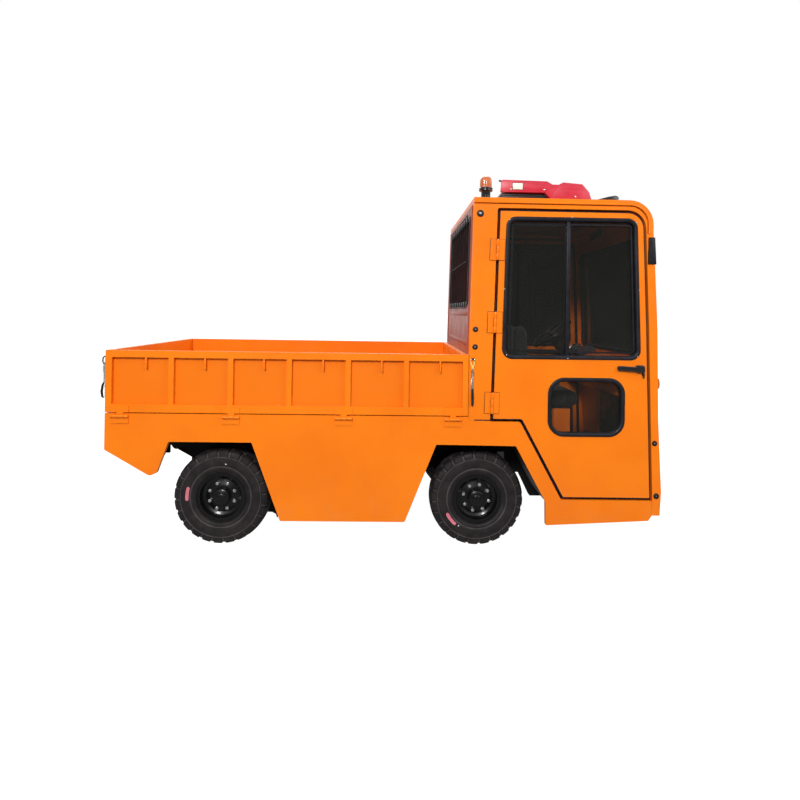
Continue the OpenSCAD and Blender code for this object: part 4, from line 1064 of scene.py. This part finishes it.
# ------------------------------------------------------------------ seats
def puff(name, outline, y0, y1, body, node, cap, rail):
    """A padded shape: a rounded block a little smaller than its place, blown up as cloth, then sewn channels."""
    B = Build()
    rows = []
    for w, d in ((y0 + 10, -20), (y0 + 18, -11), (y0 + 32, -9), ((y0 + y1) / 2, -8), (y1 - 32, -9), (y1 - 18, -11), (y1 - 10, -20)):
        rows.append([(p[0], w, p[1]) for p in offset(outline, d)])
    B.grid(rows, close_v=False, caps=True)
    ob = B.done(name, [seat_cloth, seal_rubber], body, 60)
    rm = ob.modifiers.new("remesh", "REMESH")
    rm.mode, rm.voxel_size, rm.use_smooth_shade = "VOXEL", 0.006, True
    bpy.context.view_layer.objects.active = ob
    bpy.context.view_layer.update()
    dg = bpy.context.evaluated_depsgraph_get()
    me = bpy.data.meshes.new_from_object(ob.evaluated_get(dg))
    ob.modifiers.clear()
    ob.data = me
    start = [v.co.copy() for v in me.vertices]
    sc = bpy.context.scene
    cl = ob.modifiers.new("cloth", "CLOTH")
    cs = cl.settings
    cs.quality, cs.mass = 5, 0.3
    cs.use_pressure, cs.uniform_pressure_force = True, 4.0
    cs.tension_stiffness = cs.compression_stiffness = 12
    cs.bending_stiffness = 0.6
    cs.effector_weights.gravity = 0
    cl.point_cache.frame_start, cl.point_cache.frame_end = 1, 20
    for f in range(1, 21):
        sc.frame_set(f)
    dg = bpy.context.evaluated_depsgraph_get()
    ev = ob.evaluated_get(dg).data
    moved = [v.co.copy() for v in ev.vertices]
    ob.modifiers.clear()
    sc.frame_set(1)
    for v, a, b in zip(me.vertices, start, moved):
        d = b - a
        if d.length > cap:
            d *= cap / d.length
        v.co = a + d
    zs = [p[1] + LIFT for p in outline]
    xs = [p[0] for p in outline]
    top, cx, cz = max(zs) / 1000, (min(xs) + max(xs)) / 2000, (min(zs) + max(zs)) / 2000
    yc = (y0 + y1) / 2000
    # keep inside the place, then press the sewn channels in
    for v in me.vertices:
        x, yv, z = v.co
        x = min(max(x, min(xs) / 1000 - 0.004), max(xs) / 1000 + 0.006)
        yv = min(max(yv, y0 / 1000 - 0.004), y1 / 1000 + 0.004)
        z = min(max(z, min(zs) / 1000), top + 0.006)
        for c in (-0.105, 0.105):
            t = abs(yv - yc - c)
            if t < 0.016:
                k = (1 - t / 0.016) ** 2 * 0.009
                if rail == "top" and z > cz:
                    z -= k
                elif rail == "front" and x > cx:
                    x -= k
        v.co = (x, yv, z)
    sub = ob.modifiers.new("sub", "SUBSURF")
    sub.levels = sub.render_levels = 1
    for p in me.polygons:
        p.use_smooth = True
    me.materials.clear()
    me.materials.append(seat_cloth)
    return ob


cush = rounded([[845, 847, 15], [1268, 847, 20], [1273, 943, 35], [845, 933, 15]], 6)
back = rounded([[855, 950, 15], [928, 952, 20], [908, 1382, 30], [837, 1382, 30]], 6)
c1 = puff("seat_cushion_right", cush, -550, -110, "chassis", "seat_cushions", 0.022, "top")
b1 = puff("seat_back_right", back, -550, -110, "chassis", "seat_backs", 0.022, "front")
for o, name in ((c1, "seat_cushion_left"), (b1, "seat_back_left")):
    d = o.copy()
    d.data = o.data.copy()
    d.name = name
    d.data.transform(T(0, 0.66, 0))
    bpy.context.scene.collection.objects.link(d)
    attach(d, "chassis")
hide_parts("seat_cushions")
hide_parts("seat_backs")

# ------------------------------------------------------------------ under the body
B = Build()
for x, zt, za in ((FRONT_X, 323, 263), (REAR_X, 342, 252)):
    for s in (1, -1):
        for dx in (-62, 62) if x == REAR_X else (-46, 46):
            for yy in (258, 322):
                B.tube([(x + dx, s * yy, za - 18), (x + dx, s * yy, zt + 62)], 6, 8)
            B.tube([(x + dx, s * 258, zt + 62), (x + dx, s * 322, zt + 62)], 6, 8)
        B.box((x - 76, min(s * 250, s * 330), za - 14), (x + 76, max(s * 250, s * 330), za - 4), 2)
B.done("spring_clamps", [black_steel], "chassis", 45)
B = Build()
# motor and axle housing: cooling ribs, cover bolts, terminal box
for k in range(9):
    M = T(REAR_X + 125 + 20 * k, 0, 297) @ R(90, "Y")
    B.lathe([(110, -3), (118, -3), (118, 3), (110, 3)], M, 48, closed=True)
B.box((REAR_X + 140, -50, 395), (REAR_X + 260, 50, 430), 6)
for k in range(10):
    a = 2 * math.pi * k / 10
    B.bolt(toward(REAR_X - 92, 0, 297, (-1, 0, 0)) @ T(80 * math.cos(a), 80 * math.sin(a), 0), 7, 8)
B.done("drive_unit_details", [black_steel], "chassis", 40)
B = Build()
for s in (1, -1):
    B.box((-640, min(s * 255, s * 262), 590), (60, max(s * 255, s * 262), 612), 3)
    for x in (-520, -80):
        B.tube([(x - 45, s * 258, 520), (x - 45, s * 275, 518), (x + 45, s * 275, 518), (x + 45, s * 258, 520)], 5, 8)
B.done("battery_fittings", [black_steel], "chassis", 40)
for sd, s in SIDES:
    # black plates beside the rails, inboard of each wheel, cut to the dark area round the tyres: painted shade in the
    # wheel arches
    B = Build()
    y = lambda a: -s * a
    arch_shade_outline = [(-905, 640), (-912, 0), (-871, 20), (-833, 71), (-803, 106), (-786, 115), (-755, 120), (-728, 119), (-704, 106), (-695, 80), (-684, 100), (-668, 190), (-660, 300), (-745, 560), (-780, 640)]
    B.prism(arch_shade_outline, min(y(444), y(449)), max(y(444), y(449)), bev=0)
    shelf = [(-1444, 600), (-1428, 518), (-1414, 502), (-1398, 498), (-1380, 506), (-1355, 512), (-1338, 500), (-1308, 462), (-1290, 450), (-1268, 436), (-1250, 430), (-1234, 424), (-1190, 410), (-1130, 400), (-1080, 400), (-1080, 600)]
    B.prism(shelf, min(y(330), y(334)), max(y(330), y(334)), bev=0)
    fore = [(262, 638), (836, 638), (925, 474), (958, 400), (952, 347), (919, 373), (880, 362), (800, 380), (640, 412), (500, 400), (420, 330), (376, 322), (362, 345), (337, 382), (304, 388), (262, 398)]
    B.prism(fore[::-1], min(y(318), y(322)), max(y(318), y(322)), bev=0)
    # a bracket with its bolt on the front plate
    B.mi = 1
    B.prism([(765, 500), (770, 470), (800, 447), (816, 447), (816, 502)], min(y(321), y(338)), max(y(321), y(338)), bev=2)
    B.bolt(toward(806, y(338), 470, (0, -s, 0)), 6, 5)
    B.done(f"arch_shade_plate_{sd}", [black_steel, bare_steel], "chassis", 45)
B = Build()
for s in (1, -1):
    for x, z in ((-1610, 700), (-1610, 600)):
        pass
    for y0 in (-60, 60):
        for z in (400, 470):
            B.bolt(toward(-1650, y0, z, (-1, 0, 0)), 9, 8)
B.done("tow_jaw_bolts", [zinc], "chassis", 45)
B = Build()
B.box((BED_X0 - 2, -150, 640), (BED_X0 + 9, 150, 730), 3)
B.done("blank_plate_rear", [white_plate], "chassis", 45)
B = Build()
B.box((front_at(560) - 1, -180, 520), (front_at(560) + 3.5, 180, 600), 2)
B.done("blank_plate_front", [white_plate], "chassis", 45)

# ------------------------------------------------------------------ stage, light and camera
me = bpy.data.meshes.new("floor")
S = 300
me.from_pydata([(-S, -S, 0), (S, -S, 0), (S, S, 0), (-S, S, 0)], [], [(0, 1, 2, 3)])
floor = bpy.data.objects.new("floor", me)
bpy.context.scene.collection.objects.link(floor)
fm = Mat("pale_floor")
fm.set(Base_Color=fm.mix(fm.noise(0.6, 3), (0.21, 0.21, 0.21), (0.23, 0.23, 0.23)), Roughness=0.9)
fm.set(Specular_IOR_Level=0.0, Emission_Color=(1, 1, 1), Emission_Strength=1.0)
me.materials.append(fm.m)
floor.visible_diffuse = floor.visible_glossy = floor.visible_shadow = False

world = bpy.data.worlds.new("studio")
bpy.context.scene.world = world
world.use_nodes = True
wt = world.node_tree
wt.nodes.clear()
wo, bg = wt.nodes.new("ShaderNodeOutputWorld"), wt.nodes.new("ShaderNodeBackground")
tc, sx = wt.nodes.new("ShaderNodeTexCoord"), wt.nodes.new("ShaderNodeSeparateXYZ")
wt.links.new(tc.outputs["Generated"], sx.inputs[0])


def wspan(sock, a, b, c, d):
    n = wt.nodes.new("ShaderNodeMapRange")
    n.interpolation_type = "SMOOTHSTEP"
    wt.links.new(sock, n.inputs[0])
    for i, q in zip((1, 2, 3, 4), (a, b, c, d)):
        n.inputs[i].default_value = q
    return n.outputs[0]


def wmath(op, a, b):
    n = wt.nodes.new("ShaderNodeMath")
    n.operation = op
    for i, q in ((0, a), (1, b)):
        if isinstance(q, bpy.types.NodeSocket):
            wt.links.new(q, n.inputs[i])
        else:
            n.inputs[i].default_value = q
    return n.outputs[0]


# a dim wall towards -Y, a bright ceiling, and a white wall behind the object
base = wmath("ADD", wspan(sx.outputs[2], 0.15, 0.7, 0.2, 0.8), wspan(sx.outputs[2], -0.1, -0.4, 0.0, 0.16))
wall = wmath("MULTIPLY", wspan(sx.outputs[1], 0.0, 0.25, 0.0, 1.0), wspan(sx.outputs[2], -0.06, -0.01, 0.0, 1.0))
tone = wmath("ADD", base, wmath("MULTIPLY", wall, wmath("SUBTRACT", 1.0, base)))
wt.links.new(tone, bg.inputs[1])
bg.inputs[0].default_value = (1, 1, 1, 1)
wt.links.new(bg.outputs[0], wo.inputs[0])


def area(name, at, look, size, power, col=(1, 1, 1)):
    d = bpy.data.lights.new(name, "AREA")
    d.shape, d.size, d.energy, d.color = "DISK", size, power, col
    o = bpy.data.objects.new(name, d)
    bpy.context.scene.collection.objects.link(o)
    o.location = at
    o.rotation_mode = "QUATERNION"
    o.rotation_quaternion = (Vector(look) - Vector(at)).to_track_quat("-Z", "Y")
    return o


area("key", (-1.6, -8.2, 5.1), (0.3, -0.5, 0.9), 1.8, 560, (1.0, 0.985, 0.96))
area("fill", (5.0, -4.0, 4.0), (0.3, 0, 0.9), 3.5, 90, (0.96, 0.98, 1.0))
area("back", (0.5, 6, 6), (0, 0, 1), 4, 220)

cam_data = bpy.data.cameras.new("camera")
cam = bpy.data.objects.new("camera", cam_data)
bpy.context.scene.collection.objects.link(cam)
F_PX, U0, V0 = 576.7, 409.4, 311.35
YAW, ROLL = 0.0279, 0.0156
cam_data.sensor_width = 36
cam_data.lens = F_PX * 36 / 800
cam_data.shift_x = (400 - U0) / 800
cam_data.shift_y = -(400 - V0) / 800
cam.location = (0.0454, -4.2543, 1.4725)
cam.rotation_mode = "QUATERNION"
view = Vector((math.sin(YAW), math.cos(YAW), 0))
cam.rotation_quaternion = view.to_track_quat("-Z", "Y") @ Matrix.Rotation(ROLL, 4, "Z").to_quaternion()
cam_data.clip_start, cam_data.clip_end = 0.05, 300
bpy.context.scene.camera = cam
bpy.context.scene.view_settings.view_transform = "Standard"
bpy.context.scene.view_settings.look = "None"
